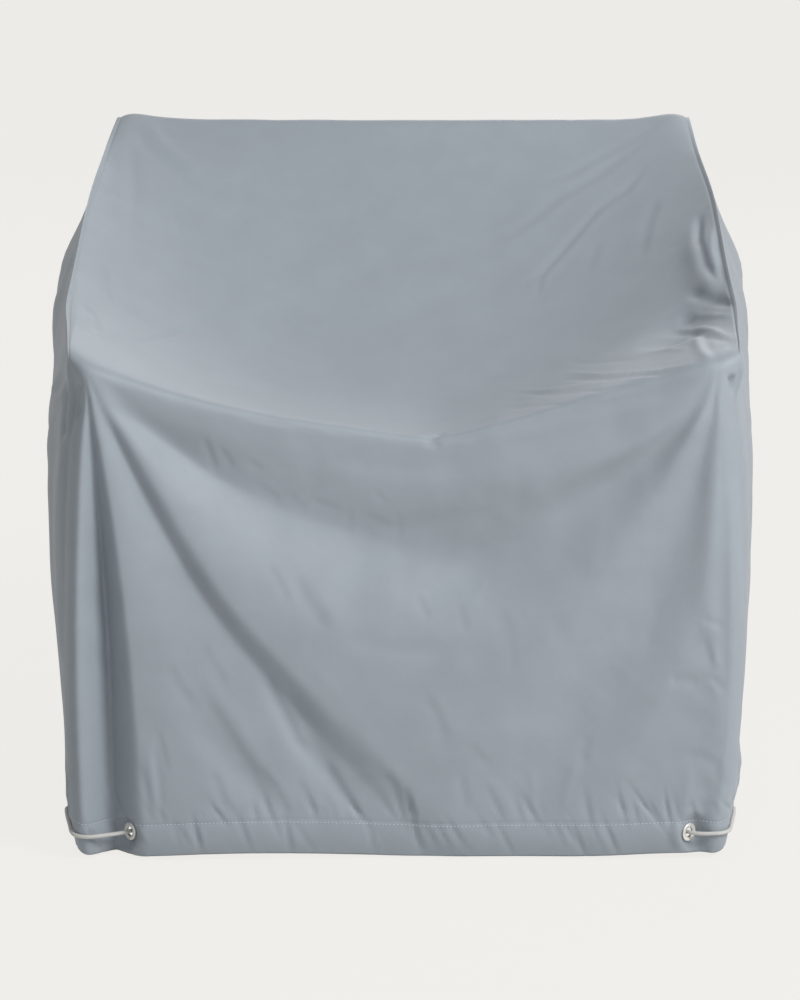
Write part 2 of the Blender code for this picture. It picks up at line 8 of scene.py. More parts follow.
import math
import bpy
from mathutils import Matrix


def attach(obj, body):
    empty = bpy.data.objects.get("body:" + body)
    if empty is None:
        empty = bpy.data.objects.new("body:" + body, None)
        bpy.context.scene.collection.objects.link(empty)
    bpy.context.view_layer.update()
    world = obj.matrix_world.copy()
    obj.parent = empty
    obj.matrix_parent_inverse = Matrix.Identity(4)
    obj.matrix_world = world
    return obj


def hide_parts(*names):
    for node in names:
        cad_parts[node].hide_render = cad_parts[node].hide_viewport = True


bl_info = {
    "name": "Patio chair cover",
    "version": (1, 0, 0),
    "blender": (4, 5, 0),
    "location": "View3D > Sidebar > Cover",
    "description": "Builds the looks of a draped patio chair cover on its packed frame",
    "category": "Object",
}

import bmesh
import bpy
import numpy as np
from mathutils import Matrix, Vector

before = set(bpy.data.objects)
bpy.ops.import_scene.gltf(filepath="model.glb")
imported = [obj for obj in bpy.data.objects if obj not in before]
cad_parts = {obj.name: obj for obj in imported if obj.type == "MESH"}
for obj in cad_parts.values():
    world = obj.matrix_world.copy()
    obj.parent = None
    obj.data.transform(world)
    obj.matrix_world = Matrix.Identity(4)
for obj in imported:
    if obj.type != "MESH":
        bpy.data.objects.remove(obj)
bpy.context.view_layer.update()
ORIGIN_IN_HEM_FRAME = Vector((0.0, 0.750, 0.9085))
CLOTH_THICKNESS = 0.002

CORNER_SHARE = 0.93
CORNER_BEND = 0.022

# The seams. v runs 0 to 1 up the front, 1 to 2 over the seat and 2 to 3 down the rear.
SEAM = (
    # v, y, z, left x, right x
    (0.00, 0.030, 0.006, -0.4380, 0.4400),
    (0.07, 0.030, 0.047, -0.4440, 0.4460),
    (0.35, 0.030, 0.234, -0.4486, 0.4595),
    (0.65, 0.030, 0.430, -0.4450, 0.4560),
    (0.85, 0.030, 0.560, -0.4375, 0.4480),
    (0.94, 0.034, 0.625, -0.4270, 0.4420),
    (1.00, 0.026, 0.666, -0.4370, 0.4480),
    (1.12, 0.111, 0.699, -0.4544, 0.4578),
    (1.38, 0.294, 0.761, -0.4510, 0.4528),
    (1.62, 0.476, 0.824, -0.4460, 0.4503),
    (1.88, 0.659, 0.886, -0.4310, 0.4355),
    (2.00, 0.754, 0.918, -0.4200, 0.4300),
    (2.06, 0.770, 0.866, -0.4380, 0.4460),
    (2.16, 0.778, 0.775, -0.4740, 0.4800),
    (2.28, 0.784, 0.672, -0.5140, 0.5180),
    (2.40, 0.790, 0.560, -0.5080, 0.5150),
    (2.55, 0.796, 0.430, -0.5160, 0.5160),
    (2.75, 0.800, 0.240, -0.5120, 0.5160),
    (2.90, 0.804, 0.100, -0.5030, 0.5120),
    (3.00, 0.802, 0.008, -0.4940, 0.5040),
)

# The front's lower edge and the line where the cloth turns from the front to the seat.
HEM = (
    # x, z
    (-0.445, 0.000),
    (-0.410, -0.001),
    (-0.375, -0.002),
    (-0.330, 0.000),
    (-0.160, 0.005),
    (0.050, 0.000),
    (0.250, 0.001),
    (0.380, 0.003),
    (0.450, 0.002),
)
RIDGE = (
    # x, y, z
    (-0.437, 0.014, 0.668),
    (-0.407, 0.004, 0.658),
    (-0.366, 0.010, 0.643),
    (-0.286, 0.020, 0.618),
    (-0.172, 0.030, 0.592),
    (-0.066, 0.034, 0.576),
    (0.039, 0.036, 0.564),
    (0.145, 0.034, 0.585),
    (0.251, 0.028, 0.617),
    (0.336, 0.018, 0.640),
    (0.410, 0.006, 0.662),
    (0.448, 0.014, 0.668),
)

# The seat and the back, along the middle from the ridge to the top edge.
SEAT = (
    # v, y, z
    (1.00, 0.036, 0.568),
    (1.10, 0.105, 0.566),
    (1.25, 0.215, 0.582),
    (1.45, 0.355, 0.632),
    (1.65, 0.495, 0.708),
    (1.85, 0.640, 0.812),
    (2.00, 0.754, 0.920),
)
SEAT_HOLLOW = 2.4
RIDGE_LOW, RIDGE_HIGH = 0.564, 0.668
TOP_EDGE_RISE = 0.009

# The rear, along its middle.
REAR = (
    # v, y, z
    (2.00, 0.754, 0.920),
    (2.05, 0.778, 0.886),
    (2.30, 0.792, 0.660),
    (2.60, 0.806, 0.380),
    (3.00, 0.812, 0.006),
)

# The lower edge of the side panels: a runs from the front seam to the rear seam.
SIDE_HEM = (
    # a, out, z
    (0.00, 0.000, 0.000),
    (0.12, 0.003, 0.005),
    (0.30, 0.005, 0.008),
    (0.65, 0.003, 0.004),
    (1.00, 0.000, 0.000),
)
# How far the left and the right side stand out past their seams, and how that is shared out along
# the depth and up the height.
SIDE_BELLY = {-1: 0.010, 1: 0.005}
BELLY_DEPTH = (
    # a, share
    (0.00, 0.00),
    (0.06, 0.85),
    (0.15, 1.00),
    (0.25, 0.85),
    (0.45, -0.05),
    (0.62, -0.35),
    (0.80, 0.25),
    (1.00, 0.00),
)
BELLY_HEIGHT = (
    # b, share
    (0.00, 0.00),
    (0.06, 0.50),
    (0.12, 0.20),
    (0.22, 0.00),
    (0.32, 0.15),
    (0.46, 0.70),
    (0.62, 1.00),
    (0.80, 0.92),
    (0.90, 0.35),
    (0.96, 0.10),
    (1.00, 0.00),
)

# Folds that fan out from the ends of the arms. Each row is one crest or one valley: its angle below
# the horizontal, and its height towards the front in millimetres, at the distances in FAN_REACH.
FAN_REACH = (0.00, 0.10, 0.20, 0.32, 0.45, 0.60, 0.75, 0.90)
LEFT_APEX = (-0.410, 0.655)
LEFT_FAN = (
    # name, angles, heights
    ("corner", (100, 97, 95, 94, 93, 92, 92, 92), (0, 3, 6, 7, 7, 7, 6, 0)),
    (
        "valley by the corner",
        (91, 88, 87, 87, 87.4, 87.8, 87.6, 87),
        (0, -9, -20, -28, -31, -30, -22, 0),
    ),
    ("crest by the corner", (84, 80, 80.5, 81.5, 82.5, 83.5, 84, 84), (0, 3, 6, 9, 10, 10, 8, 0)),
    ("long valley", (72, 68, 66, 64, 61, 58, 56, 55), (0, -4, -6, -7, -7, -6, -5, 0)),
    ("long crest", (60, 58.5, 59, 58.8, 56.4, 53.6, 51.3, 50), (0, 5, 7, 8, 7, 6, 5, 0)),
    ("upper valley", (48, 44, 41, 36, 31, 27, 22, 20), (0, -12, -18, -19, -14, -8, -3, 0)),
    ("ridge", (24, 23, 21, 16, 12, 11, 10, 9), (0, 0, 0, 0, 0, 0, 0, 0)),
)
RIGHT_APEX = (0.4155, 0.658)
RIGHT_FAN = (
    ("corner", (100, 93, 91, 87, 82, 78, 76, 75), (0, 1, 2, 4, 5, 4, 2, 0)),
    ("valley by the corner", (90, 82, 79, 75, 70, 67, 65, 64), (0, -4, -6, -8, -8, -6, -3, 0)),
    ("crest by the corner", (76, 68, 64, 61, 59, 58, 58, 58), (0, 4, 6, 6, 4, 3, 1, 0)),
    ("long valley", (64, 55, 48, 43, 40, 40, 40, 40), (0, -6, -8, -7, -4, -2, -1, 0)),
    ("long crest", (52, 43, 36, 34, 34, 34, 34, 34), (0, 2, 3, 3, 2, 1, 0, 0)),
    ("upper valley", (40, 32, 28, 27, 26, 26, 25, 24), (0, 0, 1, 1, 1, 0, 0, 0)),
    ("ridge", (17, 15, 14, 13, 12, 11, 10, 10), (0, 0, 0, 0, 0, 0, 0, 0)),
)
# Valleys are narrower than crests: below 1 this moves the steep part of a slope to its foot. The
# right fan's folds are rounder than the left one's.
LEFT_FOOT = 0.78
RIGHT_FOOT = 1.05

# Single folds of the front: a path on it, its half width, and its height in millimetres.
FRONT_FOLDS = (
    # name, x and z along the path, half width, height
    ("under the ridge", ((-0.13, 0.548), (-0.05, 0.538), (0.03, 0.530), (0.15, 0.545)), 0.016, -3),
    ("swag", ((-0.150, 0.448), (-0.026, 0.416), (0.077, 0.404), (0.200, 0.415)), 0.050, -12),
    ("low fold", ((-0.29, 0.215), (-0.22, 0.120), (-0.16, 0.055)), 0.022, -5),
    ("low branch", ((-0.17, 0.245), (-0.12, 0.150), (-0.06, 0.060)), 0.020, -6),
    ("right edge dent", ((0.40, 0.31), (0.42, 0.26), (0.41, 0.20)), 0.022, -3),
    ("right corner pleat", ((0.406, 0.090), (0.405, 0.050), (0.404, -0.050)), 0.012, -6),
    (
        "brow under the right ridge",
        ((0.05, 0.500), (0.18, 0.522), (0.28, 0.554), (0.45, 0.622)),
        0.034,
        11,
    ),
)
# Where the side panels stand out past their seams: the ends of both arms, and behind the right
# eyelet. The last value is in millimetres.
ARM_CAPS = (
    # name, side, a, b, half width back, half width up, out
    ("left cap", -1, 0.045, 0.945, 0.050, 0.050, 8),
    ("left lens", -1, 0.240, 0.955, 0.090, 0.035, 6),
    ("right cap", 1, 0.040, 0.960, 0.045, 0.040, 9),
    ("swell behind the right eyelet", 1, 0.240, 0.070, 0.070, 0.060, 8),
)
SEAT_FOLDS = (
    # name, x and y along the path, half width, height
    ("hollow by the right arm", ((0.36, 0.14), (0.39, 0.20), (0.40, 0.27)), 0.045, -16),
    ("roll by the right seam", ((0.428, 0.22), (0.425, 0.32), (0.415, 0.44)), 0.020, 10),
)

# Eyelets: the rings' radii and how far they rise over the cloth, then each one's panel, centre and
# turn to the right of straight ahead.
LARGE_RING = {"hole": 0.0066, "barrel": 0.0075, "rim": 0.0125, "washer": 0.0110, "crown": 0.0017}
SMALL_RING = {"hole": 0.0040, "barrel": 0.0047, "rim": 0.0076, "washer": 0.0068, "crown": 0.0012}
EYELETS = (
    ("eyelet_front_left", "main_panel", (-0.3646, 0.0190, 0.0290), -47, LARGE_RING),
    ("eyelet_front_right", "main_panel", (0.3890, 0.0040, 0.0320), 42, LARGE_RING),
    ("eyelet_side_left", "side_panel_left", (-0.4510, 0.1110, 0.0370), -68, SMALL_RING),
    ("eyelet_side_right", "side_panel_right", (0.4520, 0.1110, 0.0370), 66, SMALL_RING),
)
# The cloth is flat this far past a ring's rim, and has its own shape again this much further out.
FLAT_ROUND_EYELET = 0.003
FLAT_BLEND = 0.016

# The draw cords: out of the hem at the front eyelet, round the corner, in at the side eyelet.
CORDS = (
    (
        "draw_cord_left",
        (
            (-0.3380, 0.046, 0.0290),
            (-0.3500, 0.034, 0.0290),
            (-0.3646, 0.019, 0.0290),
            (-0.3780, 0.009, 0.0288),
            (-0.4000, -0.001, 0.0285),
            (-0.4200, -0.007, 0.0283),
            (-0.4345, -0.003, 0.0288),
            (-0.4425, 0.010, 0.0298),
            (-0.4480, 0.040, 0.0320),
            (-0.4555, 0.085, 0.0352),
            (-0.4570, 0.101, 0.0365),
            (-0.4510, 0.111, 0.0370),
            (-0.4410, 0.117, 0.0370),
            (-0.4280, 0.123, 0.0368),
        ),
    ),
    (
        "draw_cord_right",
        (
            (0.3600, 0.036, 0.0310),
            (0.3730, 0.022, 0.0315),
            (0.3890, 0.004, 0.0320),
            (0.4020, -0.004, 0.0323),
            (0.4140, -0.006, 0.0326),
            (0.4260, -0.006, 0.0330),
            (0.4390, 0.002, 0.0329),
            (0.4455, 0.014, 0.0333),
            (0.4500, 0.040, 0.0345),
            (0.4565, 0.085, 0.0362),
            (0.4580, 0.101, 0.0368),
            (0.4520, 0.111, 0.0370),
            (0.4420, 0.117, 0.0370),
            (0.4290, 0.123, 0.0368),
        ),
    ),
)


def smooth_table(rows, key, value):
    """A smooth curve through one column of a table, without overshoot, as a function of another."""
    xs = np.array([row[key] for row in rows], float)
    ys = np.array([row[value] for row in rows], float)
    return lambda x: hermite(xs, ys, np.asarray(x, float))


def hermite(xs, ys, x):
    """Monotone cubic through (xs, ys), read at x and held level past its ends."""
    steps = np.diff(xs)
    slopes = np.diff(ys) / steps
    tangents = np.zeros(len(xs))
    flat = slopes[1:] * slopes[:-1] <= 0
    mean = 2 * slopes[1:] * slopes[:-1] / np.where(flat, 1, slopes[1:] + slopes[:-1])
    tangents[1:-1] = np.where(flat, 0, mean)
    tangents[0], tangents[-1] = slopes[0], slopes[-1]
    x = np.clip(x, xs[0], xs[-1])
    i = np.clip(np.searchsorted(xs, x, side="right") - 1, 0, len(steps) - 1)
    t = (x - xs[i]) / steps[i]
    return (
        ys[i] * (1 + 2 * t) * (1 - t) ** 2
        + ys[i + 1] * t**2 * (3 - 2 * t)
        + steps[i] * (tangents[i] * t * (1 - t) ** 2 - tangents[i + 1] * t**2 * (1 - t))
    )


def ease(t):
    t = np.clip(t, 0, 1)
    return t * t * (3 - 2 * t)


seam_y = smooth_table(SEAM, 0, 1)
seam_z = smooth_table(SEAM, 0, 2)
seam_left = smooth_table(SEAM, 0, 3)
seam_right = smooth_table(SEAM, 0, 4)
hem_z = smooth_table(HEM, 0, 1)
ridge_y = smooth_table(RIDGE, 0, 1)
ridge_z = smooth_table(RIDGE, 0, 2)
seat_y = smooth_table(SEAT, 0, 1)
seat_z = smooth_table(SEAT, 0, 2)
rear_y = smooth_table(REAR, 0, 1)
rear_z = smooth_table(REAR, 0, 2)


def fan(x, z, apex, rows, side, foot):
    """Height of the folds that fan out from one arm's end, at points of the front."""
    across, down = -side * (x - apex[0]), apex[1] - z
    reach = np.hypot(across, down)
    angle = np.degrees(np.arctan2(down, across))
    angles = [hermite(np.array(FAN_REACH), np.array(row[1], float), reach) for row in rows]
    heights = [hermite(np.array(FAN_REACH), np.array(row[2], float), reach) for row in rows]
    height = np.where(angle >= angles[0], heights[0], 0.0)
    for i in range(len(rows) - 1):
        t = (angles[i] - angle) / (angles[i] - angles[i + 1])
        rising = np.clip(t, 0, 1) ** foot
        falling = 1 - np.clip(1 - t, 0, 1) ** foot
        share = ease(np.where(heights[i + 1] > heights[i], rising, falling))
        between = heights[i] + (heights[i + 1] - heights[i]) * share
        height = np.where((t >= 0) & (t < 1), between, height)
    return height / 1000


def on_path(p, q, points):
    """The share of a path that lies before its point nearest to each (p, q), how far off that
    point is, and the same with a sign: above zero on the left of the path."""
    legs = np.diff(points, axis=0)
    lengths = np.hypot(legs[:, 0], legs[:, 1])
    starts = np.concatenate([[0], np.cumsum(lengths)])
    nearest = np.full(np.shape(p), np.inf)
    along, aside = np.zeros(np.shape(p)), np.zeros(np.shape(p))
    for (start_p, start_q), (dp, dq), length, start in zip(points, legs, lengths, starts):
        t = np.clip(((p - start_p) * dp + (q - start_q) * dq) / length**2, 0, 1)
        gap = np.hypot(p - start_p - t * dp, q - start_q - t * dq)
        left = dp * (q - start_q) - dq * (p - start_p)
        closer = gap < nearest
        along = np.where(closer, start + t * length, along)
        aside = np.where(closer, np.sign(left) * gap, aside)
        nearest = np.where(closer, gap, nearest)
    return along / starts[-1], nearest, aside


def faded(share, least, ends):
    """Strength of a fold at a share of its path: least at its ends, and full between them."""
    return least + (1 - least) * ease(share / ends) * ease((1 - share) / ends)


def single_folds(p, q, rows):
    """Height of the folds that follow a path of their own, fading at both ends."""
    total = 0.0
    for _, path, half_width, height in rows:
        share, gap, _ = on_path(p, q, np.array(path))
        total = total + height / 1000 * faded(share, 0.25, 0.3) * np.exp(-((gap / half_width) ** 2))
    return total


def front_folds(x, z):
    left = fan(x, z, LEFT_APEX, LEFT_FAN, -1, LEFT_FOOT)
    right = fan(x, z, RIGHT_APEX, RIGHT_FAN, 1, RIGHT_FOOT)
    return left + right + single_folds(x, z, FRONT_FOLDS)


def front(u, v):
    """The front: upright, with the cloth wrapped back round its corners to the seams."""
    left, right, back = seam_left(v), seam_right(v), seam_y(v)
    inner_left, inner_right = left + CORNER_BEND, right - CORNER_BEND
    share = (np.clip(u, -CORNER_SHARE, CORNER_SHARE) / CORNER_SHARE + 1) / 2
    x = inner_left + (inner_right - inner_left) * share
    turn = np.clip((np.abs(u) - CORNER_SHARE) / (1 - CORNER_SHARE), 0, 1) * math.pi / 2
    x = x + np.sign(u) * CORNER_BEND * np.sin(turn)
    z = hem_z(x) + (ridge_z(x) - hem_z(x)) * v
    z = np.where(np.abs(u) > CORNER_SHARE, z + (seam_z(v) - z) * ease(turn * 2 / math.pi), z)
    y = ridge_y(x) * ease((v - 0.5) / 0.5)
    y = y - front_folds(x, z) * ease((1.0 - v) / 0.06) * np.cos(turn)
    y = y + (back - y) * (1 - np.cos(turn))
    return np.stack([x, y, z], -1)


def seat(u, v):
    """The seat and the back: a hollow between the seams, the ridge and the top edge."""
    g = v - 1
    left, right = seam_left(v), seam_right(v)
    x = left + (right - left) * (u + 1) / 2
    at_ridge = front(u, np.ones_like(u))
    x = at_ridge[..., 0] + (x - at_ridge[..., 0]) * ease(g / 0.25)
    middle = seat_z(v)
    edge = seam_z(v)
    hollow = np.abs(u) ** SEAT_HOLLOW
    at_front = (ridge_z(x) - RIDGE_LOW) / (RIDGE_HIGH - RIDGE_LOW)
    shape = at_front + (hollow - at_front) * ease(g / 0.45)
    z = middle + (edge - middle) * shape
    z = z + TOP_EDGE_RISE * ease((g - 0.8) / 0.2) * np.sin(math.pi * np.abs(u) ** 10)
    y = seat_y(v) + (seam_y(v) - seat_y(v)) * ease(np.abs(u))
    y = y + (at_ridge[..., 1] - y) * (1 - ease(g / 0.15))
    z = z + single_folds(x, y, SEAT_FOLDS) * ease(g / 0.08) * ease((1 - np.abs(u)) / 0.05)
    return np.stack([x, y, z], -1)


def rear(u, v):
    """The rear: almost flat, leaning with the back, with its corners eased round to the seams."""
    left, right = seam_left(v), seam_right(v)
    x = left + (right - left) * (u + 1) / 2
    near_edge = ease((np.abs(u) - 0.86) / 0.14)
    y = rear_y(v) + (seam_y(v) - rear_y(v)) * near_edge
    z = rear_z(v) + (seam_z(v) - rear_z(v)) * near_edge
    y = y + 0.007 * ease(v - 2) * np.sin(9 * x + 0.6) * (1 - near_edge)
    return np.stack([x, y, z], -1)


def main_sharp(u, v):
    flat = front(u, np.clip(v, 0, 1))
    hollow = seat(u, np.clip(v, 1, 2))
    back = rear(u, np.clip(v, 2, 3))
    v = v[..., None]
    return np.where(v <= 1, flat, np.where(v <= 2, hollow, back))


def main_panel(u, v):
    """The main panel, with the turns at the ridge and at the top edge rolled over."""
    at_ridge = (0.026 + 0.022 * (1 - np.abs(u) ** 3)) * (1 - ease(np.abs(v - 1) / 0.15))
    at_top = 0.018 * (1 - ease(np.abs(v - 2) / 0.10))
    roll = at_ridge + at_top
    total = 0.0
    taps = ((-1.0, 1), (-0.5, 2), (0.0, 2), (0.5, 2), (1.0, 1))
    for tap, weight in taps:
        total = total + weight * main_sharp(u, np.clip(v + tap * roll, 0, 3))
    return total / sum(weight for _, weight in taps)


def seam_point(side, v):
    return main_panel(np.full_like(v, float(side)), v)


side_hem_out = smooth_table(SIDE_HEM, 0, 1)
side_hem_z = smooth_table(SIDE_HEM, 0, 2)
belly_depth = smooth_table(BELLY_DEPTH, 0, 1)
belly_height = smooth_table(BELLY_HEIGHT, 0, 1)


def side_panel(side, a, b):
    """A side panel, between its three seams and its hem: a runs back, b runs up."""
    a, b = a[..., None], b[..., None]
    front_seam = seam_point(side, b[..., 0])
    rear_seam = seam_point(side, 3 - b[..., 0])
    top_seam = seam_point(side, 1 + a[..., 0])
    corners = [seam_point(side, np.full_like(a[..., 0], v)) for v in (0.0, 1.0, 2.0, 3.0)]
    low = corners[0] + (corners[3] - corners[0]) * a
    hem = low + np.stack(
        [side * side_hem_out(a[..., 0]), 0 * a[..., 0], side_hem_z(a[..., 0])], -1
    )
    across = front_seam * (1 - a) + rear_seam * a
    upward = hem * (1 - b) + top_seam * b
    both = (corners[0] * (1 - a) + corners[3] * a) * (1 - b)
    both = both + (corners[1] * (1 - a) + corners[2] * a) * b
    out = SIDE_BELLY[side] * belly_depth(a[..., 0]) * belly_height(b[..., 0])
    inside = ease(a[..., 0] / 0.03) * ease((1 - b[..., 0]) / 0.03)
    for _, at_side, at_a, at_b, half_a, half_b, height in ARM_CAPS:
        if at_side == side:
            away = ((a[..., 0] - at_a) / half_a) ** 2 + ((b[..., 0] - at_b) / half_b) ** 2
            out = out + height / 1000 * np.exp(-away) * inside
    return across + upward - both + np.stack([side * out, 0 * out, 0 * out], -1)


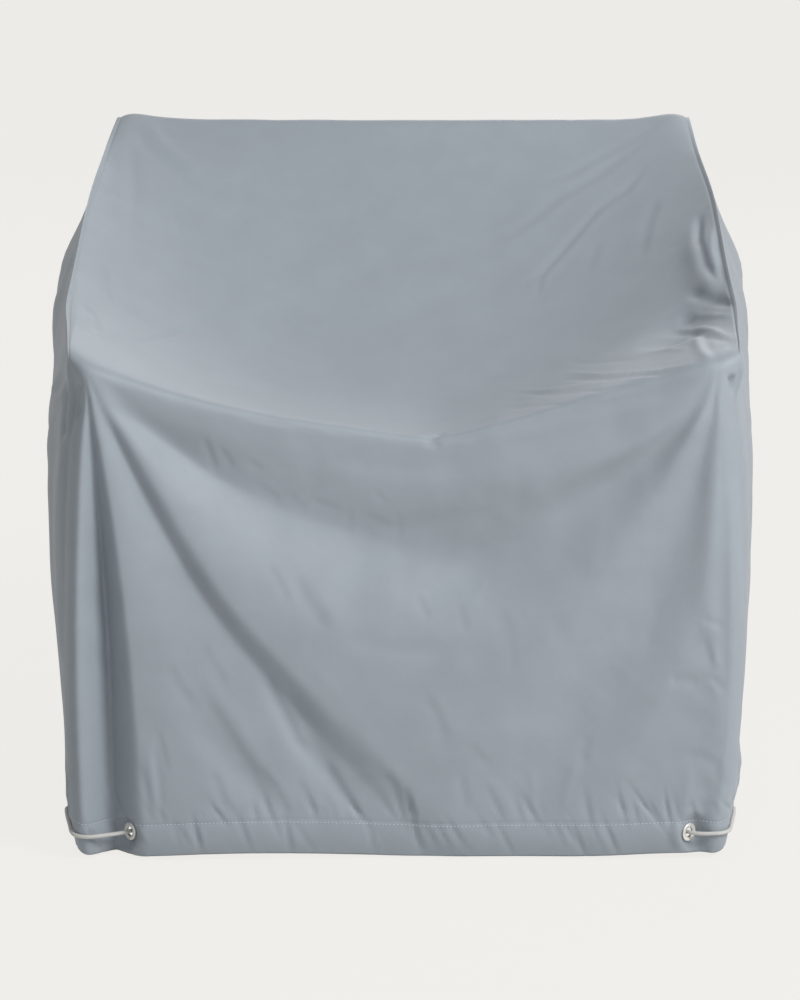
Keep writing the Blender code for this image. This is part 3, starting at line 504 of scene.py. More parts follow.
# Fine creases, which only the cloth of this file has, in millimetres. Paths run in x and z on the
# front and the rear, in x and y on the seat and the back, and in y and z on the sides. Each crease
# dips or swells by its depth, and rises from the right of its path to the left by its rise.
CREASES = {
    # region: rows of path, half width, depth and rise
    "seat": (
        (((421, 740), (363, 711), (311, 686), (250, 655), (198, 650)), 5.0, -1.5, 2.0),
        (((393, 712), (338, 673), (290, 643), (234, 617), (182, 578), (130, 554)), 7.0, -0.8, 1.8),
        (((374, 654), (333, 604), (290, 582), (245, 531), (206, 485), (160, 459)), 6.0, -1.0, 2.2),
        (((206, 485), (202, 466), (197, 447)), 4.0, -0.5, 1.0),
        (((380, 574), (359, 514), (346, 440)), 8.0, -0.5, 1.3),
        (((289, 523), (280, 490), (271, 457)), 8.0, -0.3, 0.8),
        (((148, 684), (89, 676), (47, 665)), 6.0, -0.3, 0.7),
        (((175, 601), (124, 586), (102, 574)), 7.0, -0.3, 0.6),
        (((445, 477), (425, 472), (419, 398), (423, 323), (439, 247)), 6.5, -5.0, -0.5),
        (((449, 394), (444, 348), (444, 290), (450, 227)), 4.5, -2.0, 0.0),
        (((440, 424), (437, 352), (440, 278)), 6.0, 2.5, 0.0),
        (((398, 299), (412, 261), (431, 229), (456, 173)), 6.0, -5.0, -0.5),
        (((398, 253), (425, 195), (449, 147)), 4.0, 2.0, 0.0),
        (((379, 247), (389, 243), (402, 223)), 6.0, -2.0, 0.0),
        (((374, 240), (407, 180), (431, 103), (451, 67)), 4.5, 2.2, 0.0),
        (((361, 229), (395, 192), (410, 117), (448, 56)), 6.0, -2.2, 0.0),
        (((400, 144), (402, 61), (411, 9)), 6.0, 2.0, -2.5),
        (((413, 42), (428, 57), (445, 51)), 6.0, -1.5, 0.0),
        (((325, 176), (361, 140), (389, 80)), 3.0, 1.2, 0.0),
        (((402, 11), (338, 49), (269, 133), (219, 219)), 3.2, 1.8, 0.9),
        (((381, 13), (318, 41), (254, 95), (189, 165), (144, 225)), 3.4, 1.5, 1.2),
        (((395, 11), (344, 28), (287, 75), (217, 183)), 4.5, -2.0, 0.0),
        (((329, 22), (265, 40), (214, 101), (164, 185)), 4.5, -1.7, 0.0),
        (((324, 138), (273, 190), (227, 262)), 3.5, -1.0, 0.0),
        (((264, 27), (212, 37), (135, 141)), 5.0, -1.2, 0.0),
        (((194, 111), (143, 167), (103, 207)), 4.0, -0.5, 0.0),
        (((146, 46), (129, 39)), 4.0, -1.0, 0.0),
        (((-396, 723), (-369, 675), (-330, 648), (-292, 622)), 10.0, -1.5, 1.5),
        (((-377, 729), (-340, 681), (-286, 646)), 8.0, 1.8, 0.0),
        (((-401, 690), (-391, 592), (-387, 499), (-387, 401)), 10.0, -1.2, -1.2),
        (((-416, 353), (-408, 291), (-393, 236)), 6.0, -1.6, 0.0),
        (((-426, 209), (-416, 180), (-409, 133)), 8.0, -2.0, 0.0),
        (((-357, 372), (-360, 341), (-363, 316)), 5.0, -0.9, 0.0),
        (((-377, 310), (-371, 282), (-365, 250)), 4.5, -0.8, 0.0),
        (((-357, 171), (-329, 237), (-299, 295), (-263, 341)), 5.0, -1.2, 0.5),
        (((-336, 569), (-320, 536), (-313, 508)), 7.0, -0.6, 0.0),
        (((30, 53), (43, 42), (59, 63)), 7.0, -3.0, 0.0),
    ),
    "front": (
        (((433, 656), (440, 647), (443, 634), (438, 625)), 4.0, -8.0, 4.0),
        (((-422, 647), (-427, 629), (-428, 609), (-426, 593)), 5.0, -7.0, 0.0),
        (((32, 558), (42, 558), (55, 559)), 5.0, -3.5, 0.0),
        (((427, 623), (423, 489), (419, 354), (433, 218), (439, 127)), 12.0, 0.0, -3.5),
        (((108, 569), (186, 585), (265, 605), (343, 625), (405, 645)), 9.0, 0.0, -3.2),
        (((-261, 571), (-250, 543), (-244, 518)), 4.5, -1.0, 0.7),
        (((-238, 555), (-229, 540), (-219, 523)), 5.0, -0.8, 0.7),
        (((-201, 539), (-191, 529), (-180, 523)), 5.0, -0.6, 0.6),
        (((-189, 505), (-174, 491), (-157, 478)), 5.0, -0.5, 0.6),
        (((-149, 492), (-136, 478), (-122, 464)), 5.0, -0.5, 0.5),
        (((-119, 481), (-93, 473), (-72, 464)), 5.0, -0.5, 0.5),
        (((-65, 473), (-64, 451), (-64, 426)), 4.5, 0.1, 0.7),
        (((-51, 464), (-23, 451), (-5, 440)), 5.0, -0.4, 0.5),
        (((1, 466), (3, 443), (3, 424)), 4.5, 0.1, 0.6),
        (((-34, 498), (-27, 487), (-17, 476)), 4.0, -0.5, 0.5),
        (((-176, 406), (-159, 377), (-144, 346)), 5.0, -0.5, 0.7),
        (((-139, 392), (-122, 355), (-88, 308)), 9.0, -0.9, 1.4),
        (((24, 359), (32, 342), (39, 324)), 4.5, -0.6, 0.8),
        (((77, 349), (85, 330), (89, 308)), 5.5, -0.5, 0.7),
        (((112, 380), (107, 362), (94, 335)), 6.0, 0.5, 0.0),
        (((133, 350), (147, 299), (154, 245)), 9.0, -0.6, 0.6),
        (((-272, 239), (-233, 181), (-198, 122), (-167, 61)), 11.0, -1.6, 2.4),
        (((-184, 259), (-163, 217), (-137, 161), (-116, 134)), 7.0, -1.5, 2.8),
        (((-134, 286), (-73, 211), (-20, 128), (0, 78)), 12.0, 0.5, 0.0),
        (((-104, 133), (-79, 94), (-48, 52)), 7.0, -1.3, 2.4),
        (((-190, 126), (-164, 92), (-146, 53)), 6.0, -0.9, 1.5),
        (((-313, 274), (-287, 229), (-267, 201)), 7.0, -0.5, 1.0),
        (((-266, 298), (-248, 268), (-229, 230)), 6.0, -0.4, 0.8),
        (((-334, 161), (-329, 116), (-324, 59)), 5.0, 0.5, -2.2),
        (((-351, 136), (-340, 101), (-332, 64)), 6.0, -0.9, 0.8),
        (((-324, 180), (-315, 147), (-308, 115)), 4.5, -0.5, 1.0),
        (((-252, 123), (-239, 93), (-231, 63)), 6.0, -0.7, 1.3),
        (((-137, 108), (-121, 77), (-108, 55)), 5.0, -0.7, 1.3),
        (((-24, 124), (0, 90), (21, 53)), 8.0, -1.4, 2.2),
        (((33, 231), (51, 198), (65, 157)), 7.0, -0.8, 1.2),
        (((89, 164), (108, 142), (126, 121)), 7.0, -0.6, 1.0),
        (((83, 121), (89, 87), (94, 58)), 6.0, -0.5, 1.5),
        (((399, 328), (415, 322), (431, 314)), 5.0, -1.3, -1.0),
        (((404, 305), (410, 285), (415, 263)), 7.0, -1.4, 0.4),
        (((413, 250), (422, 239), (433, 227)), 5.0, -1.3, -1.0),
        (((429, 261), (421, 272), (418, 292)), 5.0, 1.2, 0.0),
        (((357, 245), (378, 245), (400, 239)), 9.0, -1.6, 0.0),
        (((374, 140), (402, 142), (423, 129), (432, 93)), 8.0, -1.2, 0.8),
        (((389, 128), (386, 100), (381, 65)), 8.0, 1.4, 0.0),
        (((410, 114), (414, 85), (412, 59)), 12.0, -1.0, 0.0),
        (((404, 218), (347, 165), (295, 114)), 24.0, -2.6, 0.0),
        (((255, 167), (246, 143), (250, 125)), 7.0, -1.0, 0.8),
        (((239, 136), (226, 98), (218, 57)), 7.0, 1.2, 0.0),
        (((173, 126), (179, 97), (184, 60)), 6.0, 0.9, 0.0),
        (((118, 110), (135, 85), (151, 56)), 6.0, 1.0, 0.0),
        (((282, 93), (296, 75), (309, 57)), 5.0, -0.7, 0.9),
        (((347, 352), (330, 297), (320, 277)), 9.0, -0.8, 0.0),
        (((-81, 299), (0, 285), (93, 282)), 14.0, -1.4, 0.0),
        (((202, 339), (213, 306), (208, 286)), 12.0, -1.0, 0.0),
        (((-67, 438), (40, 449), (140, 474)), 14.0, -1.5, 0.0),
    ),
    "left": (
        (((45, 655), (110, 640), (170, 615), (215, 585)), 20.0, 6.0, 0.0),
        (((80, 620), (150, 400), (190, 120)), 26.0, -2.6, 2.0),
        (((180, 640), (330, 380), (410, 100)), 30.0, -3.0, 2.2),
        (((720, 820), (610, 500), (580, 140)), 28.0, -2.8, -2.0),
        (((640, 800), (500, 600), (440, 380)), 24.0, -2.0, -1.6),
        (((36, 648), (60, 628), (110, 606), (170, 585)), 12.0, 6.0, 0.0),
        (((40, 640), (60, 618), (58, 590), (36, 560)), 10.0, -10.0, 0.0),
        (((45, 530), (50, 400), (45, 280)), 12.0, -1.5, 0.0),
    ),
    "right": (
        (((90, 600), (170, 380), (220, 130)), 28.0, -2.2, 1.8),
        (((200, 640), (300, 420), (380, 120)), 26.0, -2.8, 2.0),
        (((730, 830), (640, 520), (600, 120)), 30.0, -3.0, -2.2),
        (((600, 780), (480, 560), (450, 320)), 22.0, -1.8, -1.4),
        (((60, 650), (52, 638), (50, 625), (40, 612)), 8.0, -7.0, 0.0),
        (((50, 662), (85, 650), (95, 630), (75, 608)), 12.0, 4.0, 0.0),
    ),
    "rear": (
        (((-400, 840), (-280, 480), (-230, 100)), 30.0, -4.0, -3.0),
        (((-330, 830), (-130, 560), (-40, 300)), 26.0, -3.0, -2.2),
        (((410, 840), (310, 500), (240, 120)), 28.0, -4.2, 3.2),
        (((300, 850), (150, 620), (80, 420)), 24.0, -2.6, 1.8),
        (((60, 380), (100, 220), (90, 60)), 26.0, -2.8, 1.6),
    ),
}


def unit(vectors):
    return vectors / np.linalg.norm(vectors, axis=-1, keepdims=True)


def normals(points):
    """Normals of a grid of points, given as rows by columns by 3."""
    return unit(np.cross(np.gradient(points, axis=1), np.gradient(points, axis=0)))


def press_flat(points):
    """The cloth pulled flat where each eyelet is set in it."""
    for _, _, centre, turn, ring in EYELETS:
        out = facing(turn)
        away = points - np.array(centre)
        past_flat = np.linalg.norm(away, axis=-1) - ring["rim"] - FLAT_ROUND_EYELET
        share = 1 - ease(past_flat / FLAT_BLEND)
        points = points - (away @ out * share)[..., None] * out
    return points


def facing(turn):
    """The way that an eyelet faces: turn degrees to the right of straight ahead."""
    angle = math.radians(turn)
    return np.array([math.sin(angle), -math.cos(angle), 0.0])


def creases(region, p, q):
    """Height of the fine creases of one region, in metres."""
    total = np.zeros(np.shape(p))
    for path, half_width, depth, rise in CREASES[region]:
        points, half_width = np.array(path) / 1000, half_width / 1000
        low, high = points.min(0) - 3 * half_width, points.max(0) + 3 * half_width
        near = (p > low[0]) & (p < high[0]) & (q > low[1]) & (q < high[1])
        if near.any():
            total[near] += crease(p[near], q[near], points, half_width, depth, rise)
    return total


def crease(p, q, points, half_width, depth, rise):
    """Height of one crease at some points, fading towards both of its ends."""
    share, _, aside = on_path(p, q, points)
    across = aside / half_width
    shape = depth * np.exp(-(across**2)) + rise * across * np.exp(-0.5 * across**2) * 0.8
    return shape * faded(share, 0.10, 0.25) / 1000


def crumple(p, q, seed):
    """Soft unevenness of the whole cloth: waves of many directions, stronger in some places."""
    random = np.random.default_rng(seed)
    total, where = np.zeros(np.shape(p)), np.zeros(np.shape(p))
    for number in range(48):
        length = random.uniform(0.022, 0.120)
        heading = random.uniform(0, math.pi)
        phase = random.uniform(0, 2 * math.pi)
        far = p * math.cos(heading) + q * math.sin(heading)
        total += (length / 0.1) ** 1.2 * np.sin(2 * math.pi * far / length + phase)
        if number < 12:
            where += np.sin(2 * math.pi * far / (length + 0.16) + phase)
    return total / math.sqrt(24) * (0.55 + 0.45 * np.tanh(where / 2.4))


def hem_puckers(along, up, seed, sizes):
    """Relief of the hem: a full channel under a stitched groove, gathered by slanted puckers."""
    random = np.random.default_rng(seed)
    groove = -0.0006 * np.exp(-(((up - sizes.hem_height) / 0.0022) ** 2))
    channel = 0.0018 * np.sin(np.clip(up / sizes.hem_height, 0, 1) * math.pi)
    total = groove + channel
    at = along.min()
    while at < along.max():
        at += random.uniform(0.008, 0.020)
        lean = random.uniform(0.10, 0.75)
        above = random.random() < 0.5
        tall = random.uniform(0.010, 0.026)
        half_width = random.uniform(0.0022, 0.0050)
        centre = sizes.hem_height + tall * (0.9 if above else -0.8)
        depth = random.uniform(0.25, 1.0) ** 1.5 * sizes.pucker_depth
        across = (along - at + lean * (up - centre)) / half_width
        near = np.abs(across) < 3
        fold = np.exp(-(across[near] ** 2)) - 0.6 * across[near] * np.exp(-0.5 * across[near] ** 2)
        total[near] -= depth * fold * np.exp(-(((up[near] - centre) / tall) ** 2))
    return total * (1 - ease((up - 0.10) / 0.04))


def to_object(points):
    return points - np.array(ORIGIN_IN_HEM_FRAME)


def distances(points):
    """Distance from the first row of points to each row, along the rows between them."""
    return np.linalg.norm(np.diff(points, axis=0, prepend=points[:1]), axis=-1).cumsum(0)


def over_hem(points):
    """Height of a grid's points over its first row."""
    return points[..., 2] - points[:1, :, 2]


def new_object(name, data):
    made = bpy.data.objects.new(name, data)
    bpy.context.scene.collection.objects.link(made)
    return made


def lay_uv(mesh, name, laid):
    """A UV map with one place for each vertex."""
    layer = mesh.uv_layers.new(name=name)
    loops = np.empty(len(mesh.loops), np.int32)
    mesh.loops.foreach_get("vertex_index", loops)
    layer.data.foreach_set("uv", laid[loops].ravel())


def face_outwards(mesh):
    bm = bmesh.new()
    bm.from_mesh(mesh)
    bmesh.ops.recalc_face_normals(bm, faces=bm.faces)
    bm.to_mesh(mesh)
    bm.free()


def front_rows():
    """v of the rows up the front, close together at the hem."""
    at_hem = np.linspace(0, CLOSE_ROWS_HEIGHT, 34) / FRONT_HEIGHT
    above = np.linspace(CLOSE_ROWS_HEIGHT / FRONT_HEIGHT, 1, 140)[1:]
    return np.concatenate([at_hem, above])


# The grids: rows up the front stand close together up to CLOSE_ROWS_HEIGHT, and columns stand
# closer towards the seams, with a few more of them right beside each seam, given in u.
FRONT_HEIGHT = 0.66
CLOSE_ROWS_HEIGHT = 0.075
SEAT_STEPS = 120
MAIN_COLUMNS = 262
CROWDING = 0.34
SEAM_COLUMNS = (0.0025, 0.0076, 0.0127, 0.0177, 0.0228)
# Half of the main panel's width, which turns u into metres near a seam.
HALF_WIDTH = 0.44
REAR_HEM_Z = 0.006
# The hem is drawn in up to TUCK_HEIGHT over its edge. It hangs HEM_DROP lower in the middle of the
# front, and is drawn in by the share SIDE_TUCK at the sides.
TUCK_HEIGHT = 0.046
HEM_DROP = 0.0035
SIDE_TUCK = 0.4
# The rolled-under edge: heights over the fold, each with how far it lies inside the cloth.
HEM_ROLL = ((0.0016, 0.0010), (0.0040, 0.0022), (0.0080, 0.0028), (0.0130, 0.0030))
# The half width of a seam's ridge, then the groove's distance from the seam and its half width.
SEAM_RIDGE_WIDTH = 0.0035
SEAM_GROOVE_AT = 0.0055
SEAM_GROOVE_WIDTH = 0.0014
# Stitches lie this far outside the cloth.
THREAD_LIFT = 0.0004


def grid_object(name, points, finish, cut=(), flip=False):
    """A smooth sheet of one grid of points, its UV map laid out along the cloth in metres."""
    rows_count, columns_count = points.shape[:2]
    index = np.arange(rows_count * columns_count).reshape(rows_count, columns_count)
    quads = np.stack([index[:-1, :-1], index[:-1, 1:], index[1:, 1:], index[1:, :-1]], -1)
    if flip:
        quads = quads[..., ::-1]
    quads = quads.reshape(-1, 4)
    flat = points.reshape(-1, 3)
    middle = flat[quads].mean(1)
    keep = np.ones(len(quads), bool)
    for centre, radius in cut:
        keep &= np.linalg.norm(middle - np.array(centre), axis=1) > radius
    mesh = bpy.data.meshes.new(name)
    mesh.from_pydata(to_object(flat).tolist(), [], quads[keep].tolist())
    across, along = distances(points.swapaxes(0, 1)).T, distances(points)
    half = columns_count // 2
    across = across - across[:, half : half + 1]
    lay_uv(mesh, "weave", np.stack([across, along], -1).reshape(-1, 2))
    mesh.materials.append(finish)
    mesh.shade_smooth()
    made = new_object(name, mesh)
    bm = bmesh.new()
    bm.from_mesh(mesh)
    bmesh.ops.delete(bm, geom=[v for v in bm.verts if not v.link_faces], context="VERTS")
    bm.to_mesh(mesh)
    bm.free()
    return made


def roll_hem(points, out, at_start):
    """Adds the hem's rolled-under edge before the first row or after the last."""
    if not at_start:
        points, out = points[::-1], out[::-1]
    up = distances(points).mean(1)
    extra = []
    for height, inset in HEM_ROLL:
        row = np.searchsorted(up, height)
        share = (height - up[row - 1]) / (up[row] - up[row - 1])
        place = points[row - 1] + (points[row] - points[row - 1]) * share
        extra.append(place - out[row] * inset)
    points = np.concatenate([np.array(extra)[::-1], points])
    return points if at_start else points[::-1]


def main_grid():
    """u and v of the main panel's grid."""
    t = np.linspace(-1, 1, MAIN_COLUMNS)
    crowded = t + CROWDING * np.sin(math.pi * t) / math.pi
    beside_seam = 1 - np.array(SEAM_COLUMNS)
    u_values = np.sort(np.concatenate([crowded, beside_seam, -beside_seam]))
    front_v = front_rows()
    seat_v = np.linspace(1, 2, SEAT_STEPS)[1:]
    rear_v = 3 - front_v[:-1:3][::-1]
    return np.meshgrid(u_values, np.concatenate([front_v, seat_v, rear_v]))


def seam_ridge(from_seam, sizes):
    """The ridge of a seam, at some distance from it."""
    return sizes.seam_ridge * np.exp(-((from_seam / SEAM_RIDGE_WIDTH) ** 2)) * 0.6


def dressed_main(sizes):
    """The main panel's points and normals, with its creases, hem and seam ridges."""
    u, v = main_grid()
    points = press_flat(main_panel(u, v))
    out = normals(points)
    x, y, z = points[..., 0], points[..., 1], points[..., 2]
    on_front = 1 - ease((v - 0.97) / 0.05)
    on_seat = ease((v - 0.98) / 0.05) * (1 - ease((v - 1.97) / 0.03))
    on_rear = ease((v - 2.02) / 0.08)
    relief = creases("front", x, z) * on_front + creases("seat", x, y) * on_seat
    relief += creases("rear", x, z) * on_rear
    relief += sizes.crumple * crumple(x, np.where(v < 1, z, z + y), 17) * (1 - 0.45 * on_seat)
    inside = ease((1 - np.abs(u)) / 0.03)
    low_front, low_rear = v < 0.5, v > 2.5
    front_up, rear_up = z - hem_z(x), z - REAR_HEM_Z
    mid_front = ease((0.36 - np.abs(x - 0.05)) / 0.20)
    y += sizes.hem_tuck * tucked(front_up) * low_front
    z -= HEM_DROP * tucked(front_up) * low_front * mid_front
    y -= sizes.hem_tuck * tucked(rear_up) * low_rear
    puckers = np.zeros_like(relief)
    for low, up, seed in ((low_front, front_up, 3), (low_rear, rear_up, 5)):
        puckers[low] = hem_puckers(x[low], up[low], seed, sizes)
    relief = relief * inside + puckers * (0.3 + 0.7 * inside)
    relief = relief * (1 - flat_share(points))
    to_seam = (1 - np.abs(u)) * HALF_WIDTH
    from_groove = (to_seam - SEAM_GROOVE_AT) / SEAM_GROOVE_WIDTH
    groove = 0.4 * sizes.seam_ridge * np.exp(-(from_groove**2))
    return points + out * (relief + seam_ridge(to_seam, sizes) - groove)[..., None], out


def tucked(up):
    """Share of the hem's tuck at some height over its lower edge."""
    return (1 - np.clip(up / TUCK_HEIGHT, 0, 1)) ** 1.5


def flat_share(points):
    """1 where an eyelet holds the cloth flat, and 0 away from the eyelets."""
    share = np.zeros(points.shape[:-1])
    for _, _, centre, _, ring in EYELETS:
        away = np.linalg.norm(points - np.array(centre), axis=-1)
        share = np.maximum(share, 1 - ease((away - 1.05 * ring["rim"]) / (0.5 * ring["rim"])))
    return share


def dressed_side(side, sizes):
    """A side panel's points and normals, with its creases, hem and seam ridges."""
    a, b = np.meshgrid(np.linspace(0, 1, SEAT_STEPS), front_rows())
    points = press_flat(side_panel(side, a, b))
    out = normals(points) * side
    x, y, z = points[..., 0], points[..., 1], points[..., 2]
    region = "left" if side < 0 else "right"
    relief = creases(region, y, z) + sizes.crumple * crumple(y, z, 23 + side)
    up = over_hem(points)
    x -= side * SIDE_TUCK * sizes.hem_tuck * tucked(up)
    relief = relief + hem_puckers(y, up, 11 + side, sizes) * (b < 0.3)
    to_seam = np.minimum(np.minimum(a, 1 - a) * 0.78, (1 - b) * 0.70)
    relief = relief * ease(to_seam / 0.012) * (1 - flat_share(points))
    return points + out * (relief + seam_ridge(to_seam, sizes))[..., None], out


def weld_to_main(side, side_points, main_points):
    """Sets a side panel's seam borders on the main panel's edge."""
    edge = main_points[:, 0 if side < 0 else -1]
    count = side_points.shape[0]
    side_points[:, 0] = edge[:count]
    side_points[-1] = edge[count - 1 : count - 1 + SEAT_STEPS]
    rear = edge[count + SEAT_STEPS - 2 :][::-1]
    at_rear, at = distances(rear), distances(side_points[:, -1])
    at = at * at_rear[-1] / at[-1]
    side_points[:, -1] = np.stack([np.interp(at, at_rear, rear[:, k]) for k in range(3)], -1)
    return side_points


# Finishes


def fill(links, node, inputs):
    """Gives each named or numbered input of a node its value, or a link from another node."""
    for name, value in inputs.items():
        if isinstance(value, bpy.types.NodeSocket):
            links.new(value, node.inputs[name])
        else:
            node.inputs[name].default_value = value
    return node


def new_material(name):
    made = bpy.data.materials.new(name)
    made.use_nodes = True
    nodes, links = made.node_tree.nodes, made.node_tree.links
    return made, nodes, links, nodes["Principled BSDF"]


def whole_colour(colour, share=1):
    """A property's colour, or a darker one, as a socket takes it."""
    return (*(share * c for c in colour), 1)


def bump(nodes, links, height, distance, strength, after=None):
    inputs = {"Distance": distance, "Strength": strength, "Height": height}
    if after is not None:
        inputs["Normal"] = after
    return fill(links, nodes.new("ShaderNodeBump"), inputs).outputs["Normal"]


def math_node(nodes, links, operation, *values):
    node = nodes.new("ShaderNodeMath")
    node.operation = operation
    return fill(links, node, dict(enumerate(values))).outputs[0]


def noise(nodes, links, vector, scale, detail, roughness=0.5):
    inputs = {"Scale": scale, "Detail": detail, "Roughness": roughness, "Vector": vector}
    return fill(links, nodes.new("ShaderNodeTexNoise"), inputs).outputs["Fac"]


def coated_weave(sizes):
    """Coated polyester: a fine plain weave, faint crumpling and a soft satin coat."""
    made, nodes, links, shader = new_material("coated_weave")
    laid = nodes.new("ShaderNodeUVMap")
    laid.uv_map = "weave"
    split = fill(links, nodes.new("ShaderNodeSeparateXYZ"), {"Vector": laid.outputs["UV"]})
    pitch = math.pi / sizes.yarn_pitch
    warp, weft = (
        math_node(nodes, links, "SINE", math_node(nodes, links, "MULTIPLY", way, pitch))
        for way in (split.outputs["X"], split.outputs["Y"])
    )
    over = math_node(nodes, links, "MULTIPLY", warp, weft)
    thread = math_node(nodes, links, "ABSOLUTE", over)
    place = nodes.new("ShaderNodeTexCoord").outputs["Object"]
    soft = noise(nodes, links, place, 16, 4, 0.55)
    fine = noise(nodes, links, place, 70, 3, 0.6)
    normal = bump(nodes, links, thread, 0.00008, 0.25)
    normal = bump(nodes, links, fine, 0.0006, 0.25, normal)
    normal = bump(nodes, links, soft, 0.0030, 0.25, normal)
    tone = {"Value": soft, "From Min": 0.3, "From Max": 0.7, "To Min": 0.97, "To Max": 1.03}
    tone = fill(links, nodes.new("ShaderNodeMapRange"), tone).outputs["Result"]
    colour = nodes.new("ShaderNodeVectorMath")
    colour.operation = "SCALE"
    fill(links, colour, {0: sizes.cloth_colour, "Scale": tone})
    surface = {
        "Normal": normal,
        "Base Color": colour.outputs["Vector"],
        "Roughness": 0.56,
        "Specular IOR Level": 0.42,
        "Sheen Weight": 0.10,
        "Sheen Roughness": 0.45,
    }
    fill(links, shader, surface)
    return made


def lacquered_metal(sizes):
    """Cream lacquer on metal, worn in places, with painted shade darkening it inside the ring."""
    made, nodes, links, shader = new_material("eyelet_metal")
    place = nodes.new("ShaderNodeTexCoord").outputs["Object"]
    grain = noise(nodes, links, place, 900, 3)
    wear = noise(nodes, links, place, 160, 4)
    ramp = fill(links, nodes.new("ShaderNodeValToRGB"), {"Fac": wear})
    worn, sound = ramp.color_ramp.elements
    worn.position, sound.position = 0.30, 0.55
    worn.color = whole_colour(sizes.metal_colour, 0.72)
    sound.color = whole_colour(sizes.metal_colour)
    # Painted shade: the lacquer's colour is multiplied down to near black inside the ring, where
    # the bore lies in shade.
    shade_node = nodes.new("ShaderNodeAttribute")
    shade_node.attribute_name = "painted_shade_factor"
    shaded_lacquer = nodes.new("ShaderNodeVectorMath")
    shaded_lacquer.operation = "MULTIPLY"
    fill(links, shaded_lacquer, {0: ramp.outputs["Color"], 1: shade_node.outputs["Fac"]})
    surface = {
        "Normal": bump(nodes, links, grain, 0.00004, 0.3),
        "Base Color": shaded_lacquer.outputs["Vector"],
        "Metallic": 0.35,
        "Roughness": 0.32,
    }
    fill(links, shader, surface)
    return made


def braided_cord(sizes):
    """Pale fibres, with painted shade darkening the valleys between the strands."""
    made, nodes, links, shader = new_material("cord_braid")
    laid = nodes.new("ShaderNodeUVMap")
    laid.uv_map = "braid"
    fibre = noise(nodes, links, laid.outputs["UV"], 2600, 2)
    # Painted shade: the cord's colour falls to 0.45 of itself in the valleys between the strands.
    strand_shade = nodes.new("ShaderNodeAttribute")
    strand_shade.attribute_name = "painted_strand_shade"
    ramp = fill(links, nodes.new("ShaderNodeValToRGB"), {"Fac": strand_shade.outputs["Fac"]})
    ramp.color_ramp.elements[0].color = whole_colour(sizes.cord_colour)
    ramp.color_ramp.elements[1].color = whole_colour(sizes.cord_colour, 0.45)
    surface = {
        "Normal": bump(nodes, links, fibre, 0.00012, 0.5),
        "Base Color": ramp.outputs["Color"],
        "Roughness": 0.75,
        "Sheen Weight": 0.2,
    }
    fill(links, shader, surface)
    return made


def sewing_thread(sizes):
    made, nodes, links, shader = new_material("sewing_thread")
    place = nodes.new("ShaderNodeTexCoord").outputs["Object"]
    twist = noise(nodes, links, place, 1500, 2)
    surface = {
        "Normal": bump(nodes, links, twist, 0.00006, 0.5),
        "Base Color": whole_colour(sizes.thread_colour),
        "Roughness": 0.6,
        "Sheen Weight": 0.2,
    }
    fill(links, shader, surface)
    return made


def seen_or_lit(nodes, links, seen, lit):
    """One shader for what is seen, straight on or mirrored, and another for the light it gives."""
    rays = nodes.new("ShaderNodeLightPath")
    straight, mirrored = rays.outputs["Is Camera Ray"], rays.outputs["Is Glossy Ray"]
    looks = math_node(nodes, links, "MAXIMUM", straight, mirrored)
    mixer = fill(links, nodes.new("ShaderNodeMixShader"), {"Fac": looks, 1: lit, 2: seen})
    return mixer.outputs[0]


def pale_floor(stage):
    """A pale floor that runs into the backdrop, with a faint shadow where the cover stands."""
    made, nodes, links, shader = new_material("pale_floor")
    nodes.remove(shader)
    lit = nodes.new("ShaderNodeBsdfDiffuse")
    fill(links, lit, {"Color": whole_colour(stage.floor_colour)})
    glow = nodes.new("ShaderNodeEmission")
    glow_inputs = {"Color": whole_colour(stage.backdrop_colour), "Strength": stage.floor_glow}
    fill(links, glow, glow_inputs)
    shaded = nodes.new("ShaderNodeBsdfDiffuse")
    fill(links, shaded, {"Color": whole_colour((stage.floor_shade,) * 3)})
    seen = nodes.new("ShaderNodeAddShader")
    fill(links, seen, {0: glow.outputs[0], 1: shaded.outputs[0]})
    whole = seen_or_lit(nodes, links, seen.outputs[0], lit.outputs[0])
    fill(links, nodes["Material Output"], {"Surface": whole})
    return made


def backdrop(stage):
    """Even light from all round, before a backdrop as pale as the floor."""
    made = bpy.data.worlds.new("backdrop")
    made.use_nodes = True
    nodes, links = made.node_tree.nodes, made.node_tree.links
    even = nodes["Background"]
    fill(links, even, {"Color": whole_colour(stage.fill_colour), "Strength": stage.fill_strength})
    seen = nodes.new("ShaderNodeBackground")
    fill(links, seen, {"Color": whole_colour(stage.backdrop_colour)})
    whole = seen_or_lit(nodes, links, seen.outputs[0], even.outputs[0])
    fill(links, nodes["World Output"], {"Surface": whole})
    return made


# Cords, eyelets and stitches


def smooth_route(route, step):
    """A smooth path through a route's points, at even steps."""
    points = np.array(route)
    along = distances(points)
    at = np.linspace(0, along[-1], int(along[-1] / step) + 1)
    return np.stack([hermite(along, points[:, k], at) for k in range(3)], -1)


def frames_along(points):
    """Two directions square to a path at each of its points, turning as little as they can."""
    tangents = unit(np.gradient(points, axis=0))
    side = np.cross(tangents[0], (0, 0, 1.0))
    side /= np.linalg.norm(side)
    sides = []
    for tangent in tangents:
        side = side - tangent * (side @ tangent)
        side = side / np.linalg.norm(side)
        sides.append(side)
    sides = np.array(sides)
    return sides, np.cross(tangents, sides)


